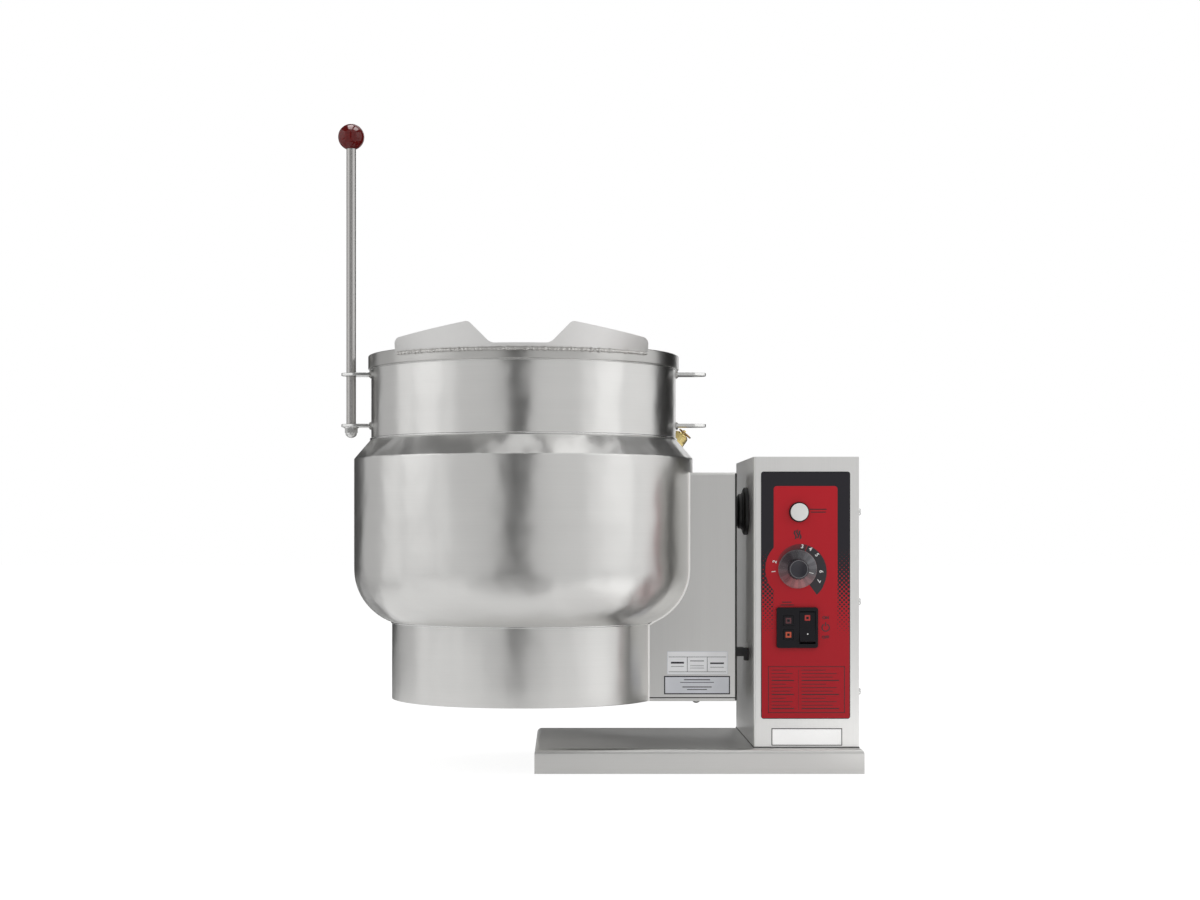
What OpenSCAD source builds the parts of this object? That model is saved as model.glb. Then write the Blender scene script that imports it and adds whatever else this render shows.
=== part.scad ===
// Counter-top tilting kettle with a steam jacket, an electric element box and a control console.
// Origin: centre of the base's underside. +Z is up and the pouring lip faces -Y.

/* [Base] */
// Length of the base along the counter
base_l = 421; // [400:1:460]
// Depth of the base from front to back
base_d = 285; // [275:1:320]
// Height of the base
base_h = 32; // [28:1:36]
// Sheet thickness of the base
base_t = 2.5; // [1.5:0.5:3.5]
// Outside bend radius along the base's top edges
base_bend = 7; // [4:0.5:10]
// Width of the flange turned in under the base
base_flange = 34; // [30:1:44]
// Radius of the bolt-down holes
bolt_hole_r = 5.25; // [4.25:0.25:6.25]
// Distance from the base's edges to the centre of a bolt-down hole
bolt_edge = 18; // [15:1:20]
// Thickness of the plates that back the bolt-down holes
pad_t = 8; // [5:1:12]
// Distance from the base's right end to the console
console_inset = 5; // [2:0.5:12]
// Distance that the kettle's axis stands in front of the base's middle
kettle_forward = 22.5; // [16:0.5:30]

/* [Kettle] */
// Height of the pedestal skirt's lower edge above the counter
skirt_z = 88; // [86:1:96]
// Distance that the pedestal skirt stands inside the jacket's side
skirt_inset = 50; // [46:1:54]
// Height from the skirt's lower edge to the centre of the jacket's lower curve
jacket_rise = 172; // [165:1:180]
// Radius of the curve at the foot of the jacket
jacket_curve = 75; // [68:1:80]
// Distance from the bowl's neck out to the jacket's side
jacket_gap = 22.5; // [20:0.5:26]
// Height of the straight part of the jacket
jacket_h = 145; // [135:1:155]
// Depth of the jacket's bottom below the centre of its lower curve
jacket_depth = 101; // [98:1:108]
// Height of the sloping shoulder above the jacket
shoulder_h = 26; // [20:1:32]
// Wall of the steam jacket
jacket_t = 3; // [2:0.5:4]
// Wall of the bowl
bowl_t = 3; // [2:0.5:4]
// Outer radius of the bowl's neck
neck_r = 202.5; // [198:0.5:205]
// Height of the bowl's neck between the shoulder and the rim bar
neck_h = 92; // [84:1:100]
// Height of the bowl's knuckle centre above the jacket's
bowl_lift = 4; // [2:1:8]
// Outside radius of the bowl's knuckle
bowl_curve = 58; // [54:1:64]
// Depth of the bowl's bottom below its knuckle centre, outside
bowl_depth = 76; // [72:1:78]
// Height of the rim bar
rim_h = 18; // [14:1:22]
// Distance that the rim bar stands out from the neck
rim_out = 4; // [3:0.5:6]
// Rounding of the rim bar's edges
rim_round = 1.5; // [0.5:0.5:2]
// Sheet thickness of the pedestal skirt
skirt_t = 2; // [1.5:0.5:3]
// Width of the skirt's turned-in foot flange
skirt_flange = 14; // [12:1:20]
// Height of the cover plates above the lower edge of the skirt and the element box
skirt_recess = 4; // [3.5:0.5:8]
// Thickness of the plates that close the skirt and the element box
cover_t = 1.5; // [1:0.5:2]

/* [Pouring lip] */
// Sheet thickness of the pouring lip
lip_t = 2.5; // [2:0.5:3.5]
// Depth of the lip's foot below the top of the rim
lip_drop = 6; // [4:0.5:9]
// Angle above the horizontal at which the lip flares out
lip_flare = 55; // [48:1:65]
// Width of the lip over both wings
lip_w = 321; // [300:1:330]
// Height of the wings' outer ends above the rim
wing_end_h = 11.5; // [9:0.5:14]
// Height of the wings' peaks above the rim
wing_peak_h = 27; // [22:0.5:32]
// Distance between the two wings' peaks
peak_pitch = 128; // [118:1:138]
// Width of the pouring notch at its foot
notch_w = 74; // [66:1:84]
// Height of the pouring notch's edge above the rim
notch_h = 1; // [0.5:0.5:3]
// Rounding where the notch turns up into a wing
notch_round = 14; // [10:1:16]
// Rounding of the wings' peaks and outer ends
wing_round = 8; // [6:0.5:9]

/* [Handle] */
// Radius of the tilting handle's rod
rod_r = 6.35; // [5:0.05:8]
// Distance from the bowl's neck to the rod's axis
lug_reach = 27.5; // [24:0.5:30]
// Radius of the ball on the rod
ball_r = 17.4; // [15:0.1:20]
// Height of the ball's centre above the rim
ball_rise = 294; // [250:1:330]
// Radial clearance of the rod in its lugs
rod_clear = 0.4; // [0.2:0.05:0.6]
// Thickness of a lug
lug_t = 4; // [3:0.5:6]
// Width of a lug
lug_w = 32; // [28:1:38]
// Metal outside a lug's hole
lug_edge = 6; // [5:0.5:9]
// Distance from the rim bar's lower edge down to the upper lug's top
lug_drop = 3; // [2:0.5:5]
// Distance between the upper and the lower lug
lug_pitch = 68; // [60:1:72]
// Radius of the acorn nut across its corners
nut_r = 8.6; // [8:0.1:9.5]
// Height of the acorn nut with its dome
nut_h = 13; // [11:1:16]
// Thickness of the washer under the lower lug
washer_t = 1.2; // [0.8:0.1:2]

/* [Safety valve] */
// Angle of the valve behind the kettle's right side
valve_turn = 22; // [16:1:32]
// Angle that the valve leans out from upright
valve_lean = 38; // [30:1:45]
// Radius of the valve's inlet
valve_inlet_r = 7; // [6:0.5:8]
// Length of the valve's inlet above the shoulder
valve_inlet_l = 10; // [8:1:13]
// Radius of the valve's hexagon across its corners
valve_hex_r = 12.5; // [11:0.5:13]
// Height of the valve's hexagon
valve_hex_h = 8; // [6:1:10]
// Radius of the valve's spring housing
valve_cap_r = 11; // [10:0.5:12]
// Height of the valve's spring housing
valve_cap_h = 13; // [11:1:15]
// Radius of the pull ring
ring_r = 9; // [8:0.5:10]
// Radius of the pull ring's wire
ring_wire_r = 1.1; // [0.9:0.1:1.2]

/* [Element box] */
// Distance that the element box's end wall stands out from the jacket's side
box_out = 53.6; // [51:0.2:56]
// Width of the element box from front to back
box_w = 126; // [118:1:136]
// Height of the element box
box_h = 298; // [288:1:304]
// Sheet thickness of the element box
box_t = 1.5; // [1:0.5:2]
// Width of the element box's foot flange
box_flange = 12; // [10:1:16]
// Radius of the element boss on the jacket
boss_r = 32; // [30:1:34]
// Height of the element boss below the centre of the jacket's lower curve
boss_drop = 31; // [29:1:33]
// Radius of a heating element's tube
element_r = 4.5; // [3.5:0.5:5]
// Thickness of the element flange
element_flange_t = 8; // [6:1:12]
// Distance between an element's two legs
leg_pitch = 36; // [34:1:38]
// Distance between the upper and the lower element
element_pitch = 14; // [12:1:16]
// Distance from the jacket's side in to the upper element's ring
ring_in_upper = 18; // [17:0.5:20]
// Distance from the jacket's side in to the lower element's ring
ring_in_lower = 26; // [25:0.5:28]
// Distance from the foot flange to the box cover's screws
box_screw_in = 14; // [12:1:18]

/* [Trunnion] */
// Height of the trunnion's axis above the counter
trunnion_z = 336; // [334:1:340]
// Distance that the trunnion's axis stands in front of the kettle's axis
trunnion_forward = 10; // [8:1:14]
// Radius of the trunnion shaft
shaft_r = 15; // [14:0.5:15.5]
// Radius of the wiring bore through the trunnion shaft
shaft_bore_r = 10; // [7:0.5:11]
// Radius of the flange on the trunnion shaft
shaft_flange_r = 32; // [28:1:36]
// Radial running clearance of the shaft in its bearings
bearing_clear = 0.05; // [0.03:0.01:0.08]
// Wall of a bearing bush
bush_t = 4; // [3:0.5:5]
// Thickness of the bearing frame's plates
frame_t = 8; // [6:1:10]
// Width of the bearing frame from front to back
frame_w = 96; // [80:1:110]
// Outer radius of the trunnion seal
seal_r = 31.5; // [28:0.5:34]
// Running gap between the seal and what turns beside it
seal_gap = 0.5; // [0.4:0.1:0.8]
// Width of the gap between the element box and the console
side_gap = 18.4; // [17:0.2:20]
// Depth of the tilt stop below the trunnion's axis
stop_drop = 186; // [170:1:190]
// Radius of the stop pin on the element box
stop_pin_r = 6; // [5:0.5:8]
// Depth of the tilt stop's bar from front to back
stop_bar_d = 12; // [10:1:14]
// Height of the tilt stop's bar
stop_bar_h = 11; // [9:1:13]
// Space left between the shaft's end and the console's outer side
shaft_end_gap = 24; // [18:1:30]
// Distance from the right bearing plate to the shaft's end
shaft_end_l = 26; // [24:1:32]
// Thickness of a bearing bush's collar
bush_collar_t = 3; // [2:0.5:4]
// Length of the collar that locks the shaft endwise
collar_l = 12; // [9:1:14]

/* [Console] */
// Width of the console
console_w = 135; // [132:1:142]
// Depth of the console from front to back
console_d = 270; // [256:1:272]
// Height of the console's housing
console_h = 372; // [362:1:382]
// Sheet thickness of the console
console_t = 1.5; // [1:0.5:2]
// Outside bend radius of the console's corners
console_bend = 3; // [2:0.5:5]
// Width of the flanges that hold the side cover
cover_flange = 14; // [12:1:20]
// Thickness of the sealing strip between the console and the base
strip_t = 1; // [0.5:0.5:2]
// Radius of a cover screw's head
screw_head_r = 4.5; // [3.5:0.5:5]
// Height of a cover screw's head
screw_head_h = 2.8; // [2:0.2:3.5]
// Radius of a cover screw's thread
screw_r = 2; // [1.5:0.25:2.5]
// Radius of the conduit hole in the console's back
conduit_r = 14; // [11:0.5:17]
// Height of the conduit hole above the counter
conduit_z = 80; // [72:1:100]

/* [Controls] */
// Thickness of the control overlay
overlay_t = 0.6; // [0.4:0.1:1]
// Width of the control overlay
overlay_w = 114.3; // [108:0.1:118]
// Height of the control overlay
overlay_h = 317; // [300:1:325]
// Height of the overlay's lower edge above the console's
overlay_rise = 36; // [30:1:42]
// Height of the push button above the console's lower edge
button_rise = 301; // [290:1:310]
// Radius of the push button
button_r = 10.6; // [9:0.1:12]
// Width of the button's bezel
bezel_w = 2; // [1.5:0.5:3]
// Travel of the push button
button_travel = 3; // [2:0.5:4]
// Height of the dial above the console's lower edge
dial_rise = 228; // [220:1:236]
// Radius of the dial's skirt
dial_r = 24.8; // [22:0.2:27]
// Radius of the dial's grip
grip_r = 13.2; // [11:0.2:15]
// Height of the dial's grip
grip_h = 17; // [13:1:20]
// Radius of the thermostat's spindle
spindle_r = 3; // [2.5:0.25:3.5]
// Height of the switch unit's centre above the console's lower edge
switch_rise = 153; // [146:1:158]
// Width of the switch unit's bezel
switch_w = 53; // [50:1:56]
// Height of the switch unit's bezel
switch_h = 52; // [48:1:56]
// Distance that the switch unit's bezel reaches over the edge of its opening
switch_lip = 1.6; // [1.2:0.1:2]
// Width of the rocker
rocker_w = 20; // [18:0.5:21]
// Length of the rocker
rocker_h = 40; // [36:1:42]
// Full swing of the rocker in degrees
rocker_swing = 14; // [10:1:16]

/* [Electrical parts] */
// Width of the contactor
contactor_w = 54; // [45:1:60]
// Depth of the contactor
contactor_d = 70; // [60:1:80]
// Height of the contactor
contactor_h = 80; // [70:1:86]
// Height of the contactor above the bearing frame's foot
contactor_rise = 92; // [86:1:100]
// Distance from the console's left wall to the contactor
contactor_in = 40; // [34:1:46]
// Width of the terminal block
terminal_w = 88; // [70:1:96]
// Depth of the terminal block
terminal_d = 30; // [24:1:36]
// Height of the terminal block
terminal_h = 34; // [28:1:40]
// Distance from the console's top down to the terminal block's foot
terminal_drop = 112; // [100:1:120]
// Distance between two terminals
terminal_pitch = 17; // [14:0.5:18]
// Side of the square thermostat body
thermostat_w = 48; // [40:1:52]
// Depth of the thermostat body
thermostat_d = 32; // [26:1:36]
// Side of a signal lamp's square lens
lamp_size = 13; // [12:0.5:14]
// Distance between the two signal lamps
lamp_pitch = 18; // [16.5:0.5:20]
// Distance that the switch unit stands out from the overlay
bezel_depth = 4; // [3:0.5:5]

/* [Hidden] */
$fn = 72;
arc_steps = 10;
weld_gap = 0.2;
fit_gap = 0.3;

// Radii about the kettle's axis
jacket_r = neck_r + jacket_gap;
skirt_r = jacket_r - skirt_inset;
rim_r = neck_r + rim_out;
rod_reach = neck_r + lug_reach;
box_reach = jacket_r + box_out;
upper_ring_r = jacket_r - ring_in_upper;
lower_ring_r = jacket_r - ring_in_lower;

// Places along the base
console_x1 = base_l / 2 - console_inset;
console_x0 = console_x1 - console_w;
kettle_x = console_x0 - side_gap - box_reach;
kettle_y = -kettle_forward;
console_y1 = base_d / 2;
console_y0 = console_y1 - console_d;
console_z0 = base_h + strip_t;
console_z1 = console_z0 + console_h;

// Heights of the kettle
curve_z = skirt_z + jacket_rise;
skirt_seat = skirt_z + skirt_recess;
shoulder_z = curve_z + jacket_h;
neck_z = shoulder_z + shoulder_h;
rim_z = neck_z + neck_h;
kettle_top = rim_z + rim_h;
bowl_curve_z = curve_z + bowl_lift;
shoulder_slope = atan2(shoulder_h, jacket_r - neck_r);

// Trunnion
axis_y = kettle_y - trunnion_forward;
box_x1 = kettle_x + box_reach;
box_z1 = skirt_z + box_h;
shaft_flange_t = 6;
shaft_x0 = box_x1 - box_t - shaft_flange_t;
shaft_x1 = console_x1 - shaft_end_gap;
frame_x0 = console_x0 + cover_flange + 1;
frame_x1 = shaft_x1 - shaft_end_l;
bush_r = shaft_r + bearing_clear + bush_t;

// Element boss on the jacket, and the elements that come out through it
boss_z = curve_z - boss_drop;
boss_x1 = jacket_r + 14;
boss_wall = 6;
leg_y = leg_pitch / 2;
leg_rise = element_pitch / 2;
sleeve_r = element_r + 0.6;
sleeve_out = 14;

// Rod
lug_upper_z = rim_z - lug_drop - lug_t;
lug_lower_z = lug_upper_z - lug_pitch;
rod_z0 = lug_lower_z - washer_t - nut_h * 0.5;
ball_z = kettle_top + ball_rise;

// Pouring lip: its foot on the rim bar, and its thickness measured upright
lip_foot_z = kettle_top - lip_drop;
lip_lift = lip_t / cos(lip_flare);
lip_foot_r = rim_r + weld_gap / 2;

// Heights along the safety valve, and the angle at which its ring lies over the spring housing
valve_hex_z = valve_inlet_l;
valve_cap_z = valve_hex_z + valve_hex_h;
ring_z = valve_cap_z + valve_cap_h + 3.5;
ring_rest = 106;

// Front of the console
panel_y = console_y0;
face_y = panel_y - overlay_t;
dial_x = console_x0 + console_w * 0.415;
button_x = dial_x + 2;
switch_x = console_x0 + 55.5;
rocker_x = switch_x + 13;
lamp_x = switch_x - 11.5;
rocker_pivot = 5;
pin_r = 1.45;
rocker_rest = rocker_swing / 2;
bezel_rise = 2.5;

// Colours
steel = [0.76, 0.76, 0.75];
dark = [0.16, 0.16, 0.18];
red = [0.69, 0.12, 0.17];
maroon = [0.33, 0.05, 0.07];
brass = [0.84, 0.76, 0.45];
grey = [0.45, 0.45, 0.47];

// Points of an arc, from one angle to another
function arc(centre, r, from, to, steps = arc_steps) =
    [for (i = [0:steps]) centre + r * [cos(from + (to - from) * i / steps), sin(from + (to - from) * i / steps)]];

// Crown radius of a dished end, from its edge radius, its knuckle radius and its depth
function crown_r(edge, knuckle, depth) =
    knuckle + (pow(edge - knuckle, 2) + pow(depth - knuckle, 2)) / (2 * (depth - knuckle));

// Angle at which a dished end's crown meets its knuckle
function crown_angle(edge, knuckle, depth) = asin((edge - knuckle) / (crown_r(edge, knuckle, depth) - knuckle));

// Half outline of a dished end, from the edge down to the axis, with the knuckle's centre at z
function dish(edge, knuckle, depth, z) =
    let (crown = crown_r(edge, knuckle, depth), turn = crown_angle(edge, knuckle, depth))
    concat(
        arc([edge - knuckle, z], knuckle, 0, turn - 90),
        [for (p = arc([0, z - depth + crown], crown, turn - 90, -90)) if (p.x < edge - knuckle) p]
    );

function reversed(points) = [for (i = [len(points) - 1:-1:0]) points[i]];

// The corner at b between a and c: directions to both, half its angle, its side and its middle line
function corner_frame(a, b, c) =
    let (
        u = (a - b) / norm(a - b),
        v = (c - b) / norm(c - b),
        half = acos(max(-1, min(1, u * v))) / 2,
        side = u.x * v.y - u.y * v.x,
        mid = (u + v) / norm(u + v)
    )
    [u, v, half, side, mid];

// Outline with every corner rounded; each corner is [x, y, radius]
function rounded(corners, steps = 6) = [
    for (i = [0:len(corners) - 1])
        let (
            n = len(corners),
            b = [corners[i].x, corners[i].y],
            a = [corners[(i + n - 1) % n].x, corners[(i + n - 1) % n].y],
            c = [corners[(i + 1) % n].x, corners[(i + 1) % n].y],
            r = corners[i].z,
            k = corner_frame(a, b, c),
            centre = b + k[4] * r / sin(k[2]),
            start = b + k[0] * r / tan(k[2]) - centre,
            sweep = (180 - 2 * k[2]) * (k[3] > 0 ? -1 : 1)
        )
        each r <= 0
            ? [b]
            : [for (s = [0:steps])
                let (t = sweep * s / steps)
                centre + [start.x * cos(t) - start.y * sin(t), start.x * sin(t) + start.y * cos(t)]]
];

// Cylinders along X and along Y
module rod_x(r, x0, x1) {
    translate([x0, 0, 0])
        rotate([0, 90, 0])
            cylinder(r = r, h = x1 - x0);
}

module rod_y(r, y0, y1) {
    translate([0, y0, 0])
        rotate([-90, 0, 0])
            cylinder(r = r, h = y1 - y0);
}

module at_kettle() {
    translate([kettle_x, kettle_y, 0])
        children();
}

module at_axis() {
    translate([0, axis_y, trunnion_z])
        children();
}

// Box with its top edges bent round, standing on z = 0
module bent_box(l, d, h, r) {
    intersection() {
        translate([0, d / 2, 0])
            rotate([90, 0, 0])
                linear_extrude(d)
                    bent_outline(l, h, r);
        translate([-l / 2, 0, 0])
            rotate([90, 0, 90])
                linear_extrude(l)
                    bent_outline(d, h, r);
    }
}

module bent_outline(w, h, r) {
    polygon(rounded([[-w / 2, 0, 0], [w / 2, 0, 0], [w / 2, h, r], [-w / 2, h, r]]));
}

// Base

module at_bolts() {
    for (sx = [-1, 1], sy = [-1, 1])
        translate([sx * (base_l / 2 - bolt_edge), sy * (base_d / 2 - bolt_edge), 0])
            children();
}

module base_pan() {
    inner_bend = max(0.5, base_bend - base_t);
    color(steel)
        difference() {
            bent_box(base_l, base_d, base_h, base_bend);
            translate([0, 0, base_t])
                bent_box(base_l - 2 * base_t, base_d - 2 * base_t, base_h - 2 * base_t, inner_bend);
            translate([-base_l / 2 + base_flange, -base_d / 2 + base_flange, -1])
                cube([base_l - 2 * base_flange, base_d - 2 * base_flange, base_t + 2]);
            at_bolts()
                translate([0, 0, -1])
                    cylinder(r = bolt_hole_r, h = base_t + 2);
        }
}

module mount_pads() {
    pad_w = 2 * (bolt_edge - base_t - fit_gap);
    color(grey)
        at_bolts()
            difference() {
                translate([-pad_w / 2, -pad_w / 2, base_t])
                    cube([pad_w, pad_w, pad_t]);
                translate([0, 0, base_t - 1])
                    cylinder(r = bolt_hole_r, h = pad_t + 2);
            }
}

// Console

module console_plan(grow) {
    x0 = console_x0 - grow;
    x1 = console_x1;
    y0 = console_y0 - grow;
    y1 = console_y1 + grow;
    r = console_bend + grow;
    polygon(rounded([[x0, y0, r], [x1, y0, 0], [x1, y1, 0], [x0, y1, r]]));
}

module console_housing() {
    color(steel)
        difference() {
            translate([0, 0, console_z0])
                linear_extrude(console_h)
                    console_plan(0);
            translate([0, 0, console_z0 + console_t])
                linear_extrude(console_h - 2 * console_t)
                    intersection() {
                        console_plan(-console_t);
                        translate([console_x0, console_y0])
                            square([console_w - console_t - cover_t, console_d]);
                    }
            // Open side, with flanges left at its edges for the cover
            translate([console_x1 - cover_t, console_y0 - 1, console_z0 - 1])
                cube([cover_t + 1, console_d + 2, console_h + 2]);
            translate([console_x1 - cover_t - console_t - 1, console_y0 + cover_flange, console_z0 + cover_flange])
                cube([console_t + 2, console_d - 2 * cover_flange, console_h - 2 * cover_flange]);
            // Foot opening inside the fixing flange
            translate([console_x0 + cover_flange, console_y0 + cover_flange, console_z0 - 1])
                cube([console_w - 2 * cover_flange, console_d - 2 * cover_flange, console_t + 2]);
            at_axis()
                rod_x(shaft_r + 3, console_x0 - 1, console_x0 + console_t + 1);
            panel_cuts(console_t);
            at_cover_screws()
                rod_x(screw_r + 0.1, -10, 1);
            translate([conduit_x(), 0, conduit_z])
                rod_y(conduit_r + 2, console_y1 - console_t - 1, console_y1 + 1);
        }
}

function conduit_x() = console_x0 + console_w / 2;

// Holes through the front panel for the controls
module panel_cuts(depth) {
    translate([button_x, 0, console_z0 + button_rise])
        rod_y(button_r + fit_gap, panel_y - 1, panel_y + depth + 1);
    translate([dial_x, 0, console_z0 + dial_rise])
        rod_y(spindle_r + 2.5, panel_y - 1, panel_y + depth + 1);
    opening = [switch_w - 2 * switch_lip, depth + 2, switch_h - 2 * switch_lip];
    translate([switch_x - opening.x / 2, panel_y - 1, console_z0 + switch_rise - opening.z / 2])
        cube(opening);
}

module at_cover_screws() {
    for (y = [console_y0 + cover_flange / 2, console_y1 - cover_flange / 2], share = [0.19, 0.5, 0.81])
        translate([console_x1, y, console_z0 + console_h * share])
            children();
}

module console_cover() {
    color(steel)
        difference() {
            translate([console_x1 - cover_t, console_y0, console_z0])
                cube([cover_t, console_d, console_h]);
            at_cover_screws()
                rod_x(screw_r + 0.1, -cover_t - 1, 1);
        }
}

// Pan head with its thread, pointing along +X from a face at x = 0
module pan_screw_x(thread) {
    shoulder = screw_head_h * 0.4;
    rotate([0, 90, 0])
        rotate_extrude()
            polygon(concat(
                [[0, -thread], [screw_r, -thread], [screw_r, 0], [screw_head_r, 0]],
                arc([screw_head_r - screw_head_h + shoulder, shoulder], screw_head_h - shoulder, 0, 90, 5),
                [[0, screw_head_h]]
            ));
}

module cover_screws() {
    color(steel)
        at_cover_screws()
            pan_screw_x(cover_t + console_t + 4);
}

module sealing_strip() {
    color(dark)
        translate([0, 0, base_h])
            linear_extrude(strip_t)
                difference() {
                    console_plan(0);
                    translate([console_x0 + cover_flange, console_y0 + cover_flange])
                        square([console_w - 2 * cover_flange, console_d - 2 * cover_flange]);
                }
}

// Trunnion bearings, carried by a frame that stands on the base

module frame_plate(x) {
    difference() {
        union() {
            translate([x, axis_y - frame_w / 2, base_h])
                cube([frame_t, frame_w, trunnion_z - base_h]);
            at_axis()
                rod_x(frame_w / 2, x, x + frame_t);
        }
        at_axis()
            rod_x(bush_r + 0.02, x - 1, x + frame_t + 1);
    }
}

module at_frame_bolts() {
    for (sx = [0.3, 0.7], sy = [-1, 1])
        translate([frame_x0 + (frame_x1 + frame_t - frame_x0) * sx, axis_y + sy * frame_w * 0.35, base_h + frame_t])
            children();
}

module bearing_frame() {
    color(grey)
        difference() {
            union() {
                frame_plate(frame_x0);
                frame_plate(frame_x1);
                translate([frame_x0, axis_y - frame_w / 2, base_h])
                    cube([frame_x1 + frame_t - frame_x0, frame_w, frame_t]);
            }
            at_frame_bolts()
                translate([0, 0, -frame_t - 1])
                    cylinder(r = screw_r + 1.1, h = frame_t + 2);
        }
}

module frame_bolts() {
    color(steel)
        at_frame_bolts() {
            cylinder(r = 2 * screw_r + 2, h = 5, $fn = 6);
            translate([0, 0, -frame_t])
                cylinder(r = screw_r + 1, h = frame_t);
        }
}

module bush(x, flange_side) {
    x0 = flange_side < 0 ? x - bush_collar_t : x + frame_t;
    difference() {
        union() {
            rod_x(bush_r, x, x + frame_t);
            rod_x(bush_r + bush_t, x0, x0 + bush_collar_t);
        }
        rod_x(shaft_r + bearing_clear, x - 5, x + frame_t + 5);
    }
}

module bearing_left() {
    color(brass)
        at_axis()
            bush(frame_x0, 1);
}

module bearing_right() {
    color(brass)
        at_axis()
            bush(frame_x1, -1);
}

module trunnion_seal() {
    reach = side_gap - seal_gap;
    inner = shaft_r + seal_gap;
    color(dark)
        at_axis()
            translate([console_x0, 0, 0])
                rotate([0, -90, 0])
                    rotate_extrude()
                        polygon(concat(
                            [[inner, 0], [seal_r, 0]],
                            [[seal_r, reach * 0.24], [seal_r - 3, reach * 0.34]],
                            [[seal_r * 0.78, reach * 0.34], [seal_r * 0.78, reach * 0.42]],
                            [[seal_r * 0.73, reach * 0.46], [seal_r * 0.73, reach * 0.66]],
                            [[seal_r * 0.66, reach * 0.72], [inner + 2, reach * 0.76]],
                            [[inner + 2, reach], [inner, reach]]
                        ));
}

module tilt_stop() {
    foot = stop_bar_h / 2;
    bar_y = axis_y - stop_pin_r - fit_gap - stop_bar_d;
    bar_z = trunnion_z - stop_drop - stop_bar_h / 2;
    bar_l = side_gap - 2;
    color(dark)
        difference() {
            union() {
                translate([console_x0 - bar_l, bar_y, bar_z])
                    cube([bar_l, stop_bar_d, stop_bar_h]);
                translate([console_x0 - foot, bar_y, bar_z - foot])
                    cube([foot, stop_bar_d, foot]);
            }
            translate([0, bar_y + stop_bar_d / 2, bar_z + stop_bar_h / 2])
                rod_x(stop_bar_d * 0.22, console_x0 - side_gap, console_x0 - side_gap + foot);
        }
}

// Controls

module control_overlay() {
    x0 = console_x0 + (console_w - overlay_w) / 2 - 1;
    z0 = console_z0 + overlay_rise;
    color(red)
        difference() {
            translate([0, panel_y, 0])
                rotate([90, 0, 0])
                    linear_extrude(overlay_t)
                        polygon(rounded([
                            [x0, z0, 3.5], [x0 + overlay_w, z0, 3.5],
                            [x0 + overlay_w, z0 + overlay_h, 3.5], [x0, z0 + overlay_h, 3.5],
                        ]));
            panel_cuts(0);
        }
}

module button_bezel() {
    color(grey)
        translate([button_x, 0, console_z0 + button_rise])
            difference() {
                union() {
                    rod_y(button_r + fit_gap + bezel_w, face_y - bezel_rise, face_y);
                    rod_y(button_r + fit_gap + bezel_w + 1, panel_y + console_t, panel_y + console_t + 4);
                    rod_y(button_r + fit_gap - 0.02, face_y - bezel_rise, panel_y + console_t + 14);
                }
                rod_y(button_r - 1.5, face_y - bezel_rise - 1, panel_y + console_t + 12);
            }
}

module push_button() {
    shank_r = button_r - 1.5 - fit_gap;
    color([0.93, 0.93, 0.92])
        translate([button_x, 0, console_z0 + button_rise]) {
            rod_y(shank_r, face_y - bezel_rise - fit_gap, face_y + 5);
            translate([0, face_y - bezel_rise - fit_gap, 0])
                rotate([90, 0, 0])
                    rotate_extrude()
                        polygon(concat(
                            [[0, 0], [shank_r, 0]],
                            arc([shank_r - 1.2, button_travel], 1.2, 0, 90, 5),
                            [[0, button_travel + 1.4]]
                        ));
        }
}

module thermostat() {
    color(grey)
        translate([dial_x, 0, console_z0 + dial_rise])
            difference() {
                union() {
                    translate([-thermostat_w / 2, panel_y + console_t, -thermostat_w / 2])
                        cube([thermostat_w, thermostat_d, thermostat_w]);
                    rod_y(spindle_r + 2.3, panel_y - 1, panel_y + console_t + 1);
                }
                rod_y(spindle_r + bearing_clear, panel_y - 2, panel_y + 20);
            }
}

module spindle() {
    color(steel)
        translate([dial_x, 0, console_z0 + dial_rise])
            rod_y(spindle_r, face_y - grip_h * 0.6, panel_y + 19);
}

module dial_knob() {
    color(dark)
        translate([dial_x, face_y - 1, console_z0 + dial_rise])
            rotate([90, 0, 0])
                difference() {
                    union() {
                        rotate_extrude()
                            polygon(concat(
                                [[0, 0], [dial_r - 0.6, 0]],
                                [[dial_r, 0.8], [dial_r - 2, 2.6]],
                                [[grip_r + 2.4, 4], [grip_r, 6]],
                                arc([grip_r - 2.6, grip_h - 1.4], 1.4, 20, 90, 4),
                                [[0, grip_h]]
                            ));
                        for (a = [0:30:330])
                            rotate(a)
                                translate([grip_r - 1.6, -1, 4])
                                    cube([2.1, 2, grip_h - 6]);
                    }
                    translate([0, 0, -1])
                        cylinder(r = spindle_r, h = grip_h * 0.6 + 1);
                }
}

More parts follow.
